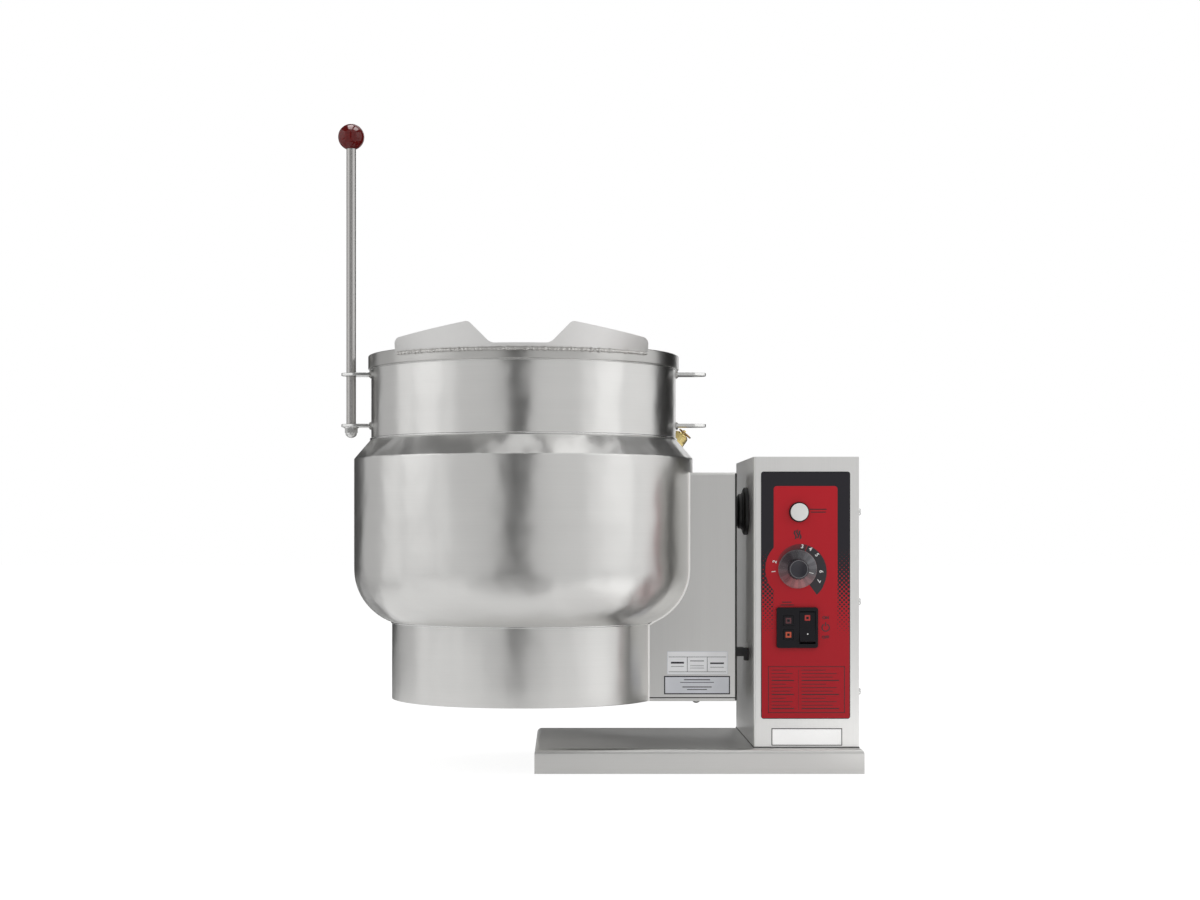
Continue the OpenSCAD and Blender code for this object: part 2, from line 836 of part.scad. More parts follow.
module switch_bezel() {
    z = console_z0 + switch_rise;
    slot_w = rocker_w + 2 * fit_gap;
    slot_h = rocker_h + 2 * fit_gap + 1;
    back_w = switch_w - 2 * (switch_lip + fit_gap);
    back_h = switch_h - 2 * (switch_lip + fit_gap);
    color(dark)
        difference() {
            union() {
                translate([switch_x, face_y, z])
                    rotate([90, 0, 0])
                        linear_extrude(bezel_depth)
                            polygon(rounded([
                                [-switch_w / 2, -switch_h / 2, 3], [switch_w / 2, -switch_h / 2, 3],
                                [switch_w / 2, switch_h / 2, 3], [-switch_w / 2, switch_h / 2, 3],
                            ]));
                translate([switch_x - back_w / 2, face_y, z - back_h / 2])
                    cube([back_w, 26, back_h]);
            }
            translate([rocker_x - slot_w / 2, face_y - bezel_depth - 1, z - slot_h / 2])
                cube([slot_w, bezel_depth + 15, slot_h]);
            for (s = [0, 1])
                translate([lamp_x - lamp_size / 2, face_y - bezel_depth - 1, lamp_z(s) - lamp_size / 2])
                    cube([lamp_size, bezel_depth + 9, lamp_size]);
            translate([0, face_y + rocker_pivot, z])
                rod_x(pin_r + bearing_clear, rocker_x - slot_w / 2 - 1.1, rocker_x + slot_w / 2 + 1.1);
        }
}

function lamp_z(s) = console_z0 + switch_rise + (s - 0.5) * lamp_pitch;

module lamp(s) {
    translate([lamp_x - lamp_size / 2 + weld_gap, face_y - bezel_depth - 0.6, lamp_z(s) - lamp_size / 2 + weld_gap])
        cube([lamp_size - 2 * weld_gap, bezel_depth + 8, lamp_size - 2 * weld_gap]);
}

module lamp_upper() {
    color([0.25, 0.1, 0.1])
        lamp(1);
}

module lamp_lower() {
    color([0.95, 0.35, 0.1])
        lamp(0);
}

// Rocker: two sloping faces in front of its pivot, a round back behind it
module rocker() {
    half = rocker_h / 2;
    front = rocker_pivot + bezel_depth + 1.5;
    end_y = sqrt(pow(half + 0.3, 2) - pow(half, 2));
    color(dark)
        translate([rocker_x, face_y + rocker_pivot, console_z0 + switch_rise])
            rotate([-rocker_rest, 0, 0]) {
                translate([-rocker_w / 2, 0, 0])
                    rotate([90, 0, 90])
                        linear_extrude(rocker_w)
                            polygon(concat(
                                [[-front + 2.6, 0]],
                                [[-front, half - 1.5], [-front + 1.5, half - 0.4]],
                                [[-1, half - 0.3], [end_y - 2, half - 1.5]],
                                [[4, 9], [6, 4], [6, -4], [4, -9]],
                                [[end_y - 2, -half + 1.5], [-1, -half + 0.3]],
                                [[-front + 1.5, -half + 0.4], [-front, -half + 1.5]]
                            ));
                rod_x(pin_r, -rocker_w / 2 - fit_gap - 1, rocker_w / 2 + fit_gap + 1);
            }
}

// Electrical parts inside the console

module contactor() {
    color([0.85, 0.84, 0.8])
        translate([
            console_x0 + contactor_in, console_y1 - console_t - contactor_d, base_h + frame_t + contactor_rise
        ]) {
            cube([contactor_w, contactor_d, contactor_h]);
            // Terminals in a row under its foot
            for (i = [0:2])
                translate([contactor_w * (0.15 + 0.26 * i), contactor_d * 0.11, -5])
                    cube([contactor_w / 6, contactor_d * 0.28, 5]);
        }
}

module terminal_block() {
    color([0.2, 0.2, 0.22])
        difference() {
            translate([conduit_x() - terminal_w / 2, console_y1 - console_t - terminal_d, console_z1 - terminal_drop])
                cube([terminal_w, terminal_d, terminal_h]);
            for (i = [-2:2])
                translate([
                    conduit_x() + i * terminal_pitch,
                    console_y1 - console_t - terminal_d * 0.73,
                    console_z1 - terminal_drop + terminal_h * 0.65,
                ])
                    cylinder(r = 3, h = terminal_h);
        }
}

module conduit_bush() {
    color(grey)
        translate([conduit_x(), 0, conduit_z])
            difference() {
                union() {
                    rod_y(conduit_r + 6, console_y1, console_y1 + 4);
                    rod_y(conduit_r + 1.9, console_y1 - console_t - 12, console_y1 + 4);
                    translate([0, console_y1 - console_t - 6, 0])
                        rotate([-90, 0, 0])
                            cylinder(r = conduit_r + 7, h = 6, $fn = 6);
                }
                rod_y(conduit_r, console_y1 - console_t - 13, console_y1 + 5);
            }
}

// Kettle

module bowl() {
    inner_r = neck_r - bowl_t;
    color(steel)
        at_kettle()
            rotate_extrude()
                polygon(concat(
                    [[inner_r, rim_z], [neck_r, rim_z]],
                    dish(neck_r, bowl_curve, bowl_depth, bowl_curve_z),
                    reversed(dish(inner_r, bowl_curve - bowl_t, bowl_depth - bowl_t, bowl_curve_z))
                ));
}

module rim_bar() {
    color(steel)
        at_kettle()
            rotate_extrude()
                polygon(rounded([
                    [neck_r - bowl_t, rim_z, 0], [rim_r, rim_z, rim_round],
                    [rim_r, kettle_top, rim_round], [neck_r - bowl_t, kettle_top, rim_round],
                ]));
}

function jacket_outer() = concat(
    [[neck_r + weld_gap, neck_z]],
    [[jacket_r, shoulder_z]],
    dish(jacket_r, jacket_curve, jacket_depth, curve_z)
);

function jacket_inner() = concat(
    [[neck_r + weld_gap, neck_z - jacket_t / cos(shoulder_slope)]],
    [[jacket_r - jacket_t, shoulder_z - jacket_t * tan(shoulder_slope / 2)]],
    dish(jacket_r - jacket_t, jacket_curve - jacket_t, jacket_depth - jacket_t, curve_z)
);

// The filled outer form of the jacket, for coping what meets it
module jacket_form(gap) {
    rotate_extrude()
        polygon(concat(
            [[0, shoulder_z], [jacket_r + gap, shoulder_z]],
            dish(jacket_r + gap, jacket_curve + gap, jacket_depth + gap, curve_z)
        ));
}

module jacket() {
    color(steel)
        at_kettle()
            difference() {
                union() {
                    rotate_extrude()
                        polygon(concat(jacket_outer(), reversed(jacket_inner())));
                    difference() {
                        translate([0, 0, boss_z])
                            rod_x(boss_r, jacket_r - 30, boss_x1);
                        jacket_form(-jacket_t / 2);
                    }
                }
                translate([0, 0, boss_z])
                    rod_x(boss_r - boss_wall, jacket_r - 60, boss_x1 + 1);
            }
}

module pedestal_skirt() {
    meet_out = curve_z - sqrt(pow(jacket_curve + weld_gap, 2) - pow(skirt_r - jacket_r + jacket_curve, 2));
    meet_in = curve_z - sqrt(pow(jacket_curve + weld_gap, 2) - pow(skirt_r - skirt_t - jacket_r + jacket_curve, 2));
    color(steel)
        at_kettle()
            rotate_extrude()
                polygon([
                    [skirt_r - skirt_flange, skirt_seat + cover_t], [skirt_r - skirt_t, skirt_seat + cover_t],
                    [skirt_r - skirt_t, skirt_z], [skirt_r, skirt_z],
                    [skirt_r, meet_out - 0.1], [skirt_r - skirt_t, meet_in - 0.1],
                    [skirt_r - skirt_t, skirt_seat + cover_t + skirt_t],
                    [skirt_r - skirt_flange, skirt_seat + cover_t + skirt_t],
                ]);
}

module at_skirt_screws() {
    for (a = [30:60:330])
        rotate(a)
            translate([skirt_r - skirt_t - (skirt_flange - skirt_t) / 2, 0, skirt_seat])
                children();
}

module skirt_cover() {
    color(steel)
        at_kettle()
            difference() {
                translate([0, 0, skirt_seat])
                    cylinder(r = skirt_r - skirt_t - fit_gap, h = cover_t);
                at_skirt_screws()
                    translate([0, 0, -1])
                        cylinder(r = screw_r + 0.1, h = cover_t + 2);
            }
}

module skirt_screws() {
    color(steel)
        at_kettle()
            at_skirt_screws()
                rotate([0, 90, 0])
                    pan_screw_x(cover_t);
}

// Pouring lip: a flared band that follows the rim bar, cut to two wings with a notch between them

// The band's section: radius and height
function lip_section() =
    let (top = kettle_top + wing_peak_h + 2, run = (top - lip_foot_z) / tan(lip_flare))
    [
        [lip_foot_r, lip_foot_z], [lip_foot_r + run, top],
        [lip_foot_r + run, top + lip_lift], [lip_foot_r, lip_foot_z + lip_lift],
    ];

// Half of the lip's outline as the cook sees it: distance from its middle, height and rounding
function lip_half(side) = [
    [side * notch_w / 2, kettle_top + notch_h, notch_round],
    [side * peak_pitch / 2, kettle_top + wing_peak_h, wing_round],
    [side * lip_w / 2, kettle_top + wing_end_h, wing_round],
    [side * lip_w / 2, lip_foot_z - 1, wing_round * 0.6],
];

module pouring_lip() {
    color(steel)
        at_kettle()
            intersection() {
                rotate_extrude()
                    polygon(lip_section());
                translate([0, -rim_r * 0.4, 0])
                    rotate([90, 0, 0])
                        linear_extrude(rim_r)
                            polygon(rounded(concat(lip_half(1), reversed(lip_half(-1)))));
            }
}

// Handle

module lug(side, z) {
    reach = rod_reach + rod_r + rod_clear + lug_edge;
    color(steel)
        at_kettle()
            translate([0, 0, z])
                difference() {
                    linear_extrude(lug_t)
                        polygon(rounded([
                            [side * (neck_r - 8), -lug_w / 2, 0],
                            [side * (reach - lug_w / 2), -lug_w / 2, 6],
                            [side * reach, -lug_w / 4, 8],
                            [side * reach, lug_w / 4, 8],
                            [side * (reach - lug_w / 2), lug_w / 2, 6],
                            [side * (neck_r - 8), lug_w / 2, 0],
                        ]));
                    translate([0, 0, -1])
                        cylinder(r = neck_r + weld_gap / 2, h = lug_t + 2);
                    translate([side * rod_reach, 0, -1])
                        cylinder(r = rod_r + rod_clear, h = lug_t + 2);
                }
}

module lug_left_upper() {
    lug(-1, lug_upper_z);
}

module lug_left_lower() {
    lug(-1, lug_lower_z);
}

module lug_right_upper() {
    lug(1, lug_upper_z);
}

module lug_right_lower() {
    lug(1, lug_lower_z);
}

module at_rod() {
    at_kettle()
        translate([-rod_reach, 0, 0])
            children();
}

module handle_rod() {
    color(steel)
        at_rod()
            translate([0, 0, rod_z0])
                cylinder(r = rod_r, h = ball_z - rod_z0);
}

module ball_knob() {
    color(maroon)
        at_rod()
            difference() {
                translate([0, 0, ball_z])
                    sphere(r = ball_r);
                translate([0, 0, ball_z - 2 * ball_r])
                    cylinder(r = rod_r, h = 2 * ball_r);
                translate([0, 0, ball_z - 2 * ball_r])
                    cylinder(r = ball_r, h = ball_r + 1.5);
            }
}

module acorn_nut() {
    flat_h = nut_h * 0.5;
    top = lug_lower_z - washer_t;
    color(steel)
        at_rod()
            difference() {
                union() {
                    translate([0, 0, top])
                        cylinder(r = nut_r + 1.5, h = washer_t);
                    translate([0, 0, top - flat_h])
                        cylinder(r = nut_r, h = flat_h, $fn = 6);
                    intersection() {
                        translate([0, 0, top - nut_h])
                            cylinder(r = nut_r - 1.2, h = nut_h - flat_h);
                        translate([0, 0, top - nut_h + nut_r])
                            sphere(r = nut_r);
                    }
                }
                translate([0, 0, rod_z0])
                    cylinder(r = rod_r, h = nut_h);
            }
}

// Safety valve, leaning out from the sloping shoulder that its inlet is coped to

module at_valve() {
    at_kettle()
        rotate(valve_turn)
            translate([(jacket_r + neck_r) / 2, 0, shoulder_z + shoulder_h / 2])
                rotate([0, valve_lean, 0])
                    children();
}

module valve_inlet() {
    color(brass)
        difference() {
            at_valve()
                translate([0, 0, -valve_inlet_r])
                    cylinder(r = valve_inlet_r, h = valve_inlet_r + valve_inlet_l);
            at_kettle()
                rotate_extrude($fn = 240)
                    polygon([
                        [0, shoulder_z - 20], [jacket_r + weld_gap, shoulder_z - 20],
                        [jacket_r + weld_gap, shoulder_z], [neck_r + weld_gap, neck_z], [0, neck_z],
                    ]);
        }
}

module valve_body() {
    color(brass)
        at_valve()
            difference() {
                union() {
                    translate([0, 0, valve_hex_z])
                        cylinder(r = valve_hex_r, h = valve_hex_h, $fn = 6);
                    translate([0, 0, valve_cap_z])
                        rotate_extrude()
                            polygon(concat(
                                [[0, 0], [valve_cap_r, 0]],
                                arc([valve_cap_r - 4, valve_cap_h - 4], 4, 0, 90, 6),
                                [[0, valve_cap_h]]
                            ));
                    translate([-1.5, -3, valve_cap_z + valve_cap_h - 1])
                        cube([3, 6, 7.5]);
                }
                translate([0, 0, ring_z])
                    rod_x(ring_wire_r + fit_gap, -3, 3);
            }
}

// The ring hangs from the stem's eye
module pull_ring() {
    color(brass)
        at_valve()
            translate([0, 0, ring_z])
                rotate([ring_rest, 0, 0])
                    translate([0, 0, ring_r])
                        rotate([90, 0, 0])
                            rotate_extrude()
                                translate([ring_r, 0])
                                    circle(r = ring_wire_r, $fn = 24);
}

// Element box

module box_section(inset) {
    w = box_w - 2 * inset;
    polygon(rounded([
        [-w / 2, skirt_z - 1, 0], [w / 2, skirt_z - 1, 0],
        [w / 2, box_z1 - inset, max(1, 4 - inset)], [-w / 2, box_z1 - inset, max(1, 4 - inset)],
    ]));
}

// What the box is cut to: the jacket and the skirt with a welding gap
module kettle_form(gap) {
    jacket_form(gap);
    translate([0, 0, skirt_z - 2])
        cylinder(r = skirt_r + gap, h = jacket_rise);
}

module element_box() {
    x0 = skirt_r * 0.8;
    color(steel)
        at_kettle()
            difference() {
                translate([x0, 0, 0])
                    rotate([90, 0, 90])
                        linear_extrude(box_reach - x0)
                            box_section(0);
                difference() {
                    translate([x0 - 1, 0, 0])
                        rotate([90, 0, 90])
                            linear_extrude(box_reach - box_t - x0 + 1)
                                box_section(box_t);
                    // Foot flange that takes the cover
                    difference() {
                        translate([0, -box_w / 2, skirt_seat + cover_t])
                            cube([box_reach, box_w, box_t]);
                        translate([0, -box_w / 2 + box_flange, skirt_seat])
                            cube([box_reach - box_flange, box_w - 2 * box_flange, cover_t + box_t + 1]);
                    }
                }
                translate([0, -box_w, skirt_z - 2])
                    cube([box_reach + 1, 2 * box_w, 2]);
                kettle_form(weld_gap);
                translate([0, -trunnion_forward, trunnion_z])
                    rod_x(shaft_r + fit_gap, box_reach - box_t - 1, box_reach + 1);
                at_box_fixings();
            }
}

module at_box_fixings() {
    translate([0, -trunnion_forward, trunnion_z])
        at_shaft_screws()
            rod_x(screw_r + 0.1, box_reach - box_t - 1, box_reach + 1);
    translate([0, -trunnion_forward, trunnion_z - stop_drop])
        rod_x(stop_pin_r / 2 + 0.05, box_reach - box_t - 1, box_reach + 1);
}

module at_box_screws() {
    for (x = [skirt_r + box_flange + box_screw_in, box_reach - box_flange - box_screw_in], sy = [-1, 1])
        translate([x, sy * (box_w / 2 - box_flange / 2 - box_t / 2), skirt_seat])
            children();
}

module box_cover() {
    edge = box_w / 2 - box_t - weld_gap;
    color(steel)
        at_kettle()
            difference() {
                translate([0, -edge, skirt_seat])
                    cube([box_reach - box_t - weld_gap, 2 * edge, cover_t]);
                translate([0, 0, skirt_seat - 1])
                    cylinder(r = skirt_r + weld_gap, h = cover_t + 2);
                at_box_screws()
                    translate([0, 0, -1])
                        cylinder(r = screw_r + 0.1, h = cover_t + 2);
            }
}

module box_screws() {
    color(steel)
        at_kettle()
            at_box_screws()
                rotate([0, 90, 0])
                    pan_screw_x(cover_t);
}

// Heating elements: rings that lie between the bowl and the jacket, with legs out through the boss

module element(ring, z) {
    turn = asin(leg_y / ring);
    color([0.3, 0.3, 0.32])
        at_kettle() {
            translate([0, 0, z])
                rotate(turn)
                    rotate_extrude(angle = 360 - 2 * turn)
                        translate([ring, 0])
                            circle(r = element_r, $fn = 24);
            for (sy = [-1, 1])
                translate([0, sy * leg_y, z])
                    rod_x(sleeve_r, ring * cos(turn) - sleeve_r - 1, boss_x1 + element_flange_t + sleeve_out);
        }
}

module element_upper() {
    element(upper_ring_r, boss_z + leg_rise);
}

module element_lower() {
    element(lower_ring_r, boss_z - leg_rise);
}

module element_flange() {
    color(brass)
        at_kettle()
            translate([0, 0, boss_z])
                difference() {
                    rod_x(boss_r, boss_x1, boss_x1 + element_flange_t);
                    for (sy = [-1, 1], sz = [-1, 1])
                        translate([0, sy * leg_y, sz * leg_rise])
                            rod_x(sleeve_r, boss_x1 - 1, boss_x1 + element_flange_t + 1);
                }
}

// Trunnion shaft with its flange inside the box's end wall

module at_shaft_screws() {
    for (a = [45:90:315])
        rotate([a, 0, 0])
            translate([0, 0, (shaft_r + shaft_flange_r) / 2])
                children();
}

module trunnion_shaft() {
    color(grey)
        at_axis()
            difference() {
                union() {
                    rod_x(shaft_flange_r, shaft_x0, box_x1 - box_t);
                    rod_x(shaft_r, shaft_x0, shaft_x1);
                }
                rod_x(shaft_bore_r, shaft_x0 - 1, shaft_x1 + 1);
                at_shaft_screws()
                    rod_x(screw_r, shaft_x0 - 1, box_x1);
            }
}

module shaft_screws() {
    color(steel)
        at_axis()
            translate([box_x1, 0, 0])
                at_shaft_screws()
                    pan_screw_x(box_t + 6);
}

module shaft_collar() {
    collar_x0 = frame_x1 + frame_t + 1;
    color(steel)
        at_axis()
            difference() {
                rod_x(shaft_r + 2 * bush_t, collar_x0, collar_x0 + collar_l);
                rod_x(shaft_r, collar_x0 - 1, collar_x0 + collar_l + 1);
                translate([collar_x0 + collar_l / 2, 0, shaft_r - 1])
                    cylinder(r = collar_l * 0.2, h = 3 * bush_t);
            }
}

module stop_pin() {
    color(dark)
        translate([0, axis_y, trunnion_z - stop_drop]) {
            rod_x(stop_pin_r, box_x1, box_x1 + side_gap - 5);
            rod_x(stop_pin_r / 2, box_x1 - box_t - 4, box_x1);
        }
}

base_pan();
mount_pads();
console_housing();
console_cover();
cover_screws();
sealing_strip();
bearing_frame();
frame_bolts();
bearing_left();
bearing_right();
trunnion_seal();
tilt_stop();
control_overlay();
button_bezel();
thermostat();
switch_bezel();
lamp_upper();
lamp_lower();
contactor();
terminal_block();
conduit_bush();
push_button();
dial_knob();
spindle();
rocker();
bowl();
rim_bar();
pouring_lip();
jacket();
pedestal_skirt();
skirt_cover();
skirt_screws();
lug_left_upper();
lug_left_lower();
lug_right_upper();
lug_right_lower();
handle_rod();
ball_knob();
acorn_nut();
valve_inlet();
valve_body();
pull_ring();
element_box();
box_cover();
box_screws();
element_flange();
element_upper();
element_lower();
trunnion_shaft();
shaft_screws();
shaft_collar();
stop_pin();
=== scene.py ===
"""Looks of a counter-top tilting kettle: finishes, smooth shells, welds, controls, studio and camera.

The kettle's pieces stand in metres where the frame has them, with the pouring lip towards -Y.
"""

import logging
import math
from collections.abc import Callable, Iterator, Sequence
from contextlib import contextmanager
from dataclasses import dataclass, field
from enum import Enum
from functools import cache
from typing import NamedTuple

import bpy
from mathutils import Matrix, Vector, noise


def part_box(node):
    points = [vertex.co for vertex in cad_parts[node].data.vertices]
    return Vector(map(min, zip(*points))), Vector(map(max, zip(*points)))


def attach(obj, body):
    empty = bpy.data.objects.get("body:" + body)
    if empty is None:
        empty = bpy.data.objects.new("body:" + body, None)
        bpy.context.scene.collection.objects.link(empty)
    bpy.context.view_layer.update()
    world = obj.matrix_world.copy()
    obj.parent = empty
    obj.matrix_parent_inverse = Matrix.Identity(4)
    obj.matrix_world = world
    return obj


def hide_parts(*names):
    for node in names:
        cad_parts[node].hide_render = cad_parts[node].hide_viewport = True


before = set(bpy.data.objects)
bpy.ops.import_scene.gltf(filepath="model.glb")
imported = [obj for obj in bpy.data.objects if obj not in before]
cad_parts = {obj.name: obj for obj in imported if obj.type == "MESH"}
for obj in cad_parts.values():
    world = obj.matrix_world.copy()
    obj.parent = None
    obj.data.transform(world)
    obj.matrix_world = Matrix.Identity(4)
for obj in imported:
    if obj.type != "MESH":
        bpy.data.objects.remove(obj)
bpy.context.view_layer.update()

log = logging.getLogger("kettle")

Point = tuple[float, float, float]
Flat = tuple[float, float]
Colour = tuple[float, float, float]

MM = 0.001
TAU = 2 * math.pi
# Turn about X that stands up what lies level
UPRIGHT = (math.pi / 2, 0, 0)


class Body(str, Enum):
    """The bodies that pieces ride on."""

    STAND = "stand"
    KETTLE = "kettle"
    BUTTON = "button"
    DIAL = "dial"
    ROCKER = "rocker_key"
    RING = "valve_ring"


class Grain(Enum):
    """Which way a brushed surface's fine lines run, as noise cycles per metre along X, Y and Z."""

    LEVEL = (9.0, 9.0, 1100.0)
    UPRIGHT = (900.0, 900.0, 9.0)
    ALONG_X = (9.0, 900.0, 900.0)
    CLOUDY = (60.0, 60.0, 60.0)


# Modelling by hand


def deselect() -> None:
    """Deselects every object."""
    bpy.ops.object.select_all(action="DESELECT")


def take(obj: bpy.types.Object) -> bpy.types.Object:
    """Makes obj the only selected and active object.

    Args:
        obj: the object to work on.

    Returns:
        The same object.
    """
    deselect()
    obj.select_set(True)
    bpy.context.view_layer.objects.active = obj
    return obj


@contextmanager
def editing(obj: bpy.types.Object) -> Iterator[None]:
    """Edit mode on an object with everything selected, and back to object mode afterwards.

    Args:
        obj: the object.

    Yields:
        Once, in edit mode.
    """
    take(obj)
    bpy.ops.object.mode_set(mode="EDIT")
    bpy.ops.mesh.select_all(action="SELECT")
    yield
    bpy.ops.object.mode_set(mode="OBJECT")


def face_outwards() -> None:
    """Turns every face of the mesh in edit mode outwards."""
    bpy.ops.mesh.select_all(action="SELECT")
    bpy.ops.mesh.normals_make_consistent(inside=False)


def settle(obj: bpy.types.Object) -> bpy.types.Object:
    """Applies obj's place, turn and size to its mesh."""
    take(obj)
    bpy.ops.object.transform_apply(location=True, rotation=True, scale=True)
    return obj


def box(name: str, low: Sequence[float], high: Sequence[float]) -> bpy.types.Object:
    """A cube primitive brought to the given corners.

    Args:
        name: the object's name.
        low: its lowest corner.
        high: its highest corner.

    Returns:
        The box.
    """
    deselect()
    size = Vector(high) - Vector(low)
    bpy.ops.mesh.primitive_cube_add(size=1, location=(Vector(high) + Vector(low)) / 2, scale=size)
    obj = bpy.context.object
    obj.name = name
    return settle(obj)


def draw(name: str, points: Sequence[Point], closed: bool) -> bpy.types.Object:
    """A line of edges drawn point by point by extruding one vertex.

    Args:
        name: the object's name.
        points: where the line goes.
        closed: whether it returns to its first point.

    Returns:
        The new object, with edges only.
    """
    deselect()
    bpy.ops.mesh.primitive_plane_add(size=0.001, location=(0, 0, 0))
    obj = bpy.context.object
    obj.name = name
    with editing(obj):
        bpy.ops.mesh.merge(type="CENTER")
        bpy.ops.transform.translate(value=points[0])
        route = list(points) + ([points[0]] if closed else [])
        for here, there in zip(route, route[1:]):
            step = Vector(there) - Vector(here)
            bpy.ops.mesh.extrude_region_move(TRANSFORM_OT_translate={"value": step})
        bpy.ops.mesh.select_all(action="SELECT")
        bpy.ops.mesh.remove_doubles(threshold=1e-7)
    return obj


def lathe(
    name: str, outline: Sequence[Flat], centre: Sequence[float], steps: int = 128, closed: bool = True
) -> bpy.types.Object:
    """Spins an outline of (radius, height) about the upright line through centre.

    Args:
        name: the object's name.
        outline: points of the profile, in metres.
        centre: x and y of the axis.
        steps: how many steps a full turn takes.
        closed: whether the profile is a closed loop.

    Returns:
        The new object, smooth, with its normals outwards.
    """
    obj = draw(name, [(centre[0] + r, centre[1], z) for r, z in outline], closed)
    with editing(obj):
        bpy.ops.mesh.spin(steps=steps, angle=TAU, center=(centre[0], centre[1], 0), axis=(0, 0, 1))
        bpy.ops.mesh.select_all(action="SELECT")
        bpy.ops.mesh.remove_doubles(threshold=1e-6)
        face_outwards()
    return smooth(obj, 40)


def turned(name: str, outline: Sequence[Flat], centre: Sequence[float], steps: int) -> bpy.types.Object:
    """Spins an outline of (radius, distance) about a line along -Y through centre.

    Args:
        name: the object's name.
        outline: (radius, distance towards the viewer), in metres.
        centre: a point on the axis.
        steps: how many steps a full turn takes.

    Returns:
        The new object, smooth, with its normals outwards.
    """
    obj = lathe(name, outline, (0, 0), steps)
    obj.matrix_world = Matrix.Translation(centre) @ Matrix.Rotation(math.pi / 2, 4, "X")
    return settle(obj)


def smooth(obj: bpy.types.Object, degrees: float) -> bpy.types.Object:
    """Smooth shading, with edges sharper than the angle kept sharp.

    Args:
        obj: the piece.
        degrees: the angle.

    Returns:
        The same piece.
    """
    take(obj)
    bpy.ops.object.shade_smooth_by_angle(angle=math.radians(degrees))
    return obj


def modify(obj: bpy.types.Object, kind: str, **values: object) -> bpy.types.Object:
    """Adds one modifier with the given values and applies it.

    Args:
        obj: the piece.
        kind: the modifier's type.
        values: the modifier's own values.

    Returns:
        The same piece.
    """
    take(obj)
    modifier = obj.modifiers.new(kind.lower(), kind)
    for key, value in values.items():
        setattr(modifier, key, value)
    bpy.ops.object.modifier_apply(modifier=modifier.name)
    return obj


def round_edges(
    obj: bpy.types.Object, width: float, segments: int, degrees: float = 35
) -> bpy.types.Object:
    """Rounds a piece's sharp edges, then shades it smooth with flat faces kept flat.

    Args:
        obj: the piece.
        width: how wide the rounding is.
        segments: faces across it.
        degrees: the angle past which an edge is rounded.

    Returns:
        The same piece.
    """
    modify(
        obj, "BEVEL", width=width, segments=segments, limit_method="ANGLE",
        angle_limit=math.radians(degrees), use_clamp_overlap=True, harden_normals=False,
    )
    smooth(obj, 50)
    return modify(obj, "WEIGHTED_NORMAL", keep_sharp=True, weight=50)


def from_node(
    node: str, name: str, width: float, segments: int, degrees: float = 35
) -> bpy.types.Object:
    """A merged copy of a CAD node's mesh with its edges rounded, which stands for the node.

    Args:
        node: the CAD node.
        name: the piece's name.
        width: the rounding of its edges, in metres; 0 leaves them as they are.
        segments: faces across a rounding.
        degrees: the angle past which an edge is rounded.

    Returns:
        The new piece.
    """
    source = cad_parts[node]
    mesh = source.data.copy()
    obj = bpy.data.objects.new(name, mesh)
    bpy.context.scene.collection.objects.link(obj)
    mesh.materials.clear()
    if "custom_normal" in mesh.attributes:
        mesh.attributes.remove(mesh.attributes["custom_normal"])
    with editing(obj):
        bpy.ops.mesh.remove_doubles(threshold=2e-6)
        bpy.ops.mesh.dissolve_limited(angle_limit=math.radians(0.6), delimit={"NORMAL"})
    if width > 0:
        round_edges(obj, width, segments, degrees)
    else:
        smooth(obj, 32)
        modify(obj, "WEIGHTED_NORMAL", keep_sharp=True, weight=50)
    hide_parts(node)
    return obj


def join(name: str, parts: Sequence[bpy.types.Object]) -> bpy.types.Object:
    """Joins parts into one object.

    Args:
        name: the object's name.
        parts: what goes into it.

    Returns:
        The first part, which holds them all.
    """
    take(parts[0])
    for part in parts:
        part.select_set(True)
    bpy.ops.object.join()
    parts[0].name = name
    return parts[0]


def bead(name: str, route: Sequence[Point], radius: float, closed: bool = False) -> bpy.types.Object:
    """A round bead along a route.

    Args:
        name: the piece's name.
        route: the bead's middle line.
        radius: half its thickness.
        closed: whether the last point joins the first.

    Returns:
        The bead as a mesh.
    """
    line = draw(name, route, closed=closed)
    take(line)
    bpy.ops.object.convert(target="CURVE")
    line.data.bevel_depth = radius
    line.data.bevel_resolution = 3
    line.data.use_fill_caps = True
    take(line)
    bpy.ops.object.convert(target="MESH")
    return smooth(line, 60)


def arc(centre: Flat, radius: float, start: float, end: float, steps: int = 12) -> list[Flat]:
    """Points of an arc.

    Args:
        centre: its middle.
        radius: its radius.
        start: the angle of its first point, in degrees.
        end: the angle of its last point.
        steps: parts of the arc.

    Returns:
        The points, one more than the steps.
    """
    turns = [math.radians(start + (end - start) * i / steps) for i in range(steps + 1)]
    return [(centre[0] + radius * math.cos(a), centre[1] + radius * math.sin(a)) for a in turns]


# Finishes

Socket = bpy.types.NodeSocket
Value = float | Sequence[float] | Socket


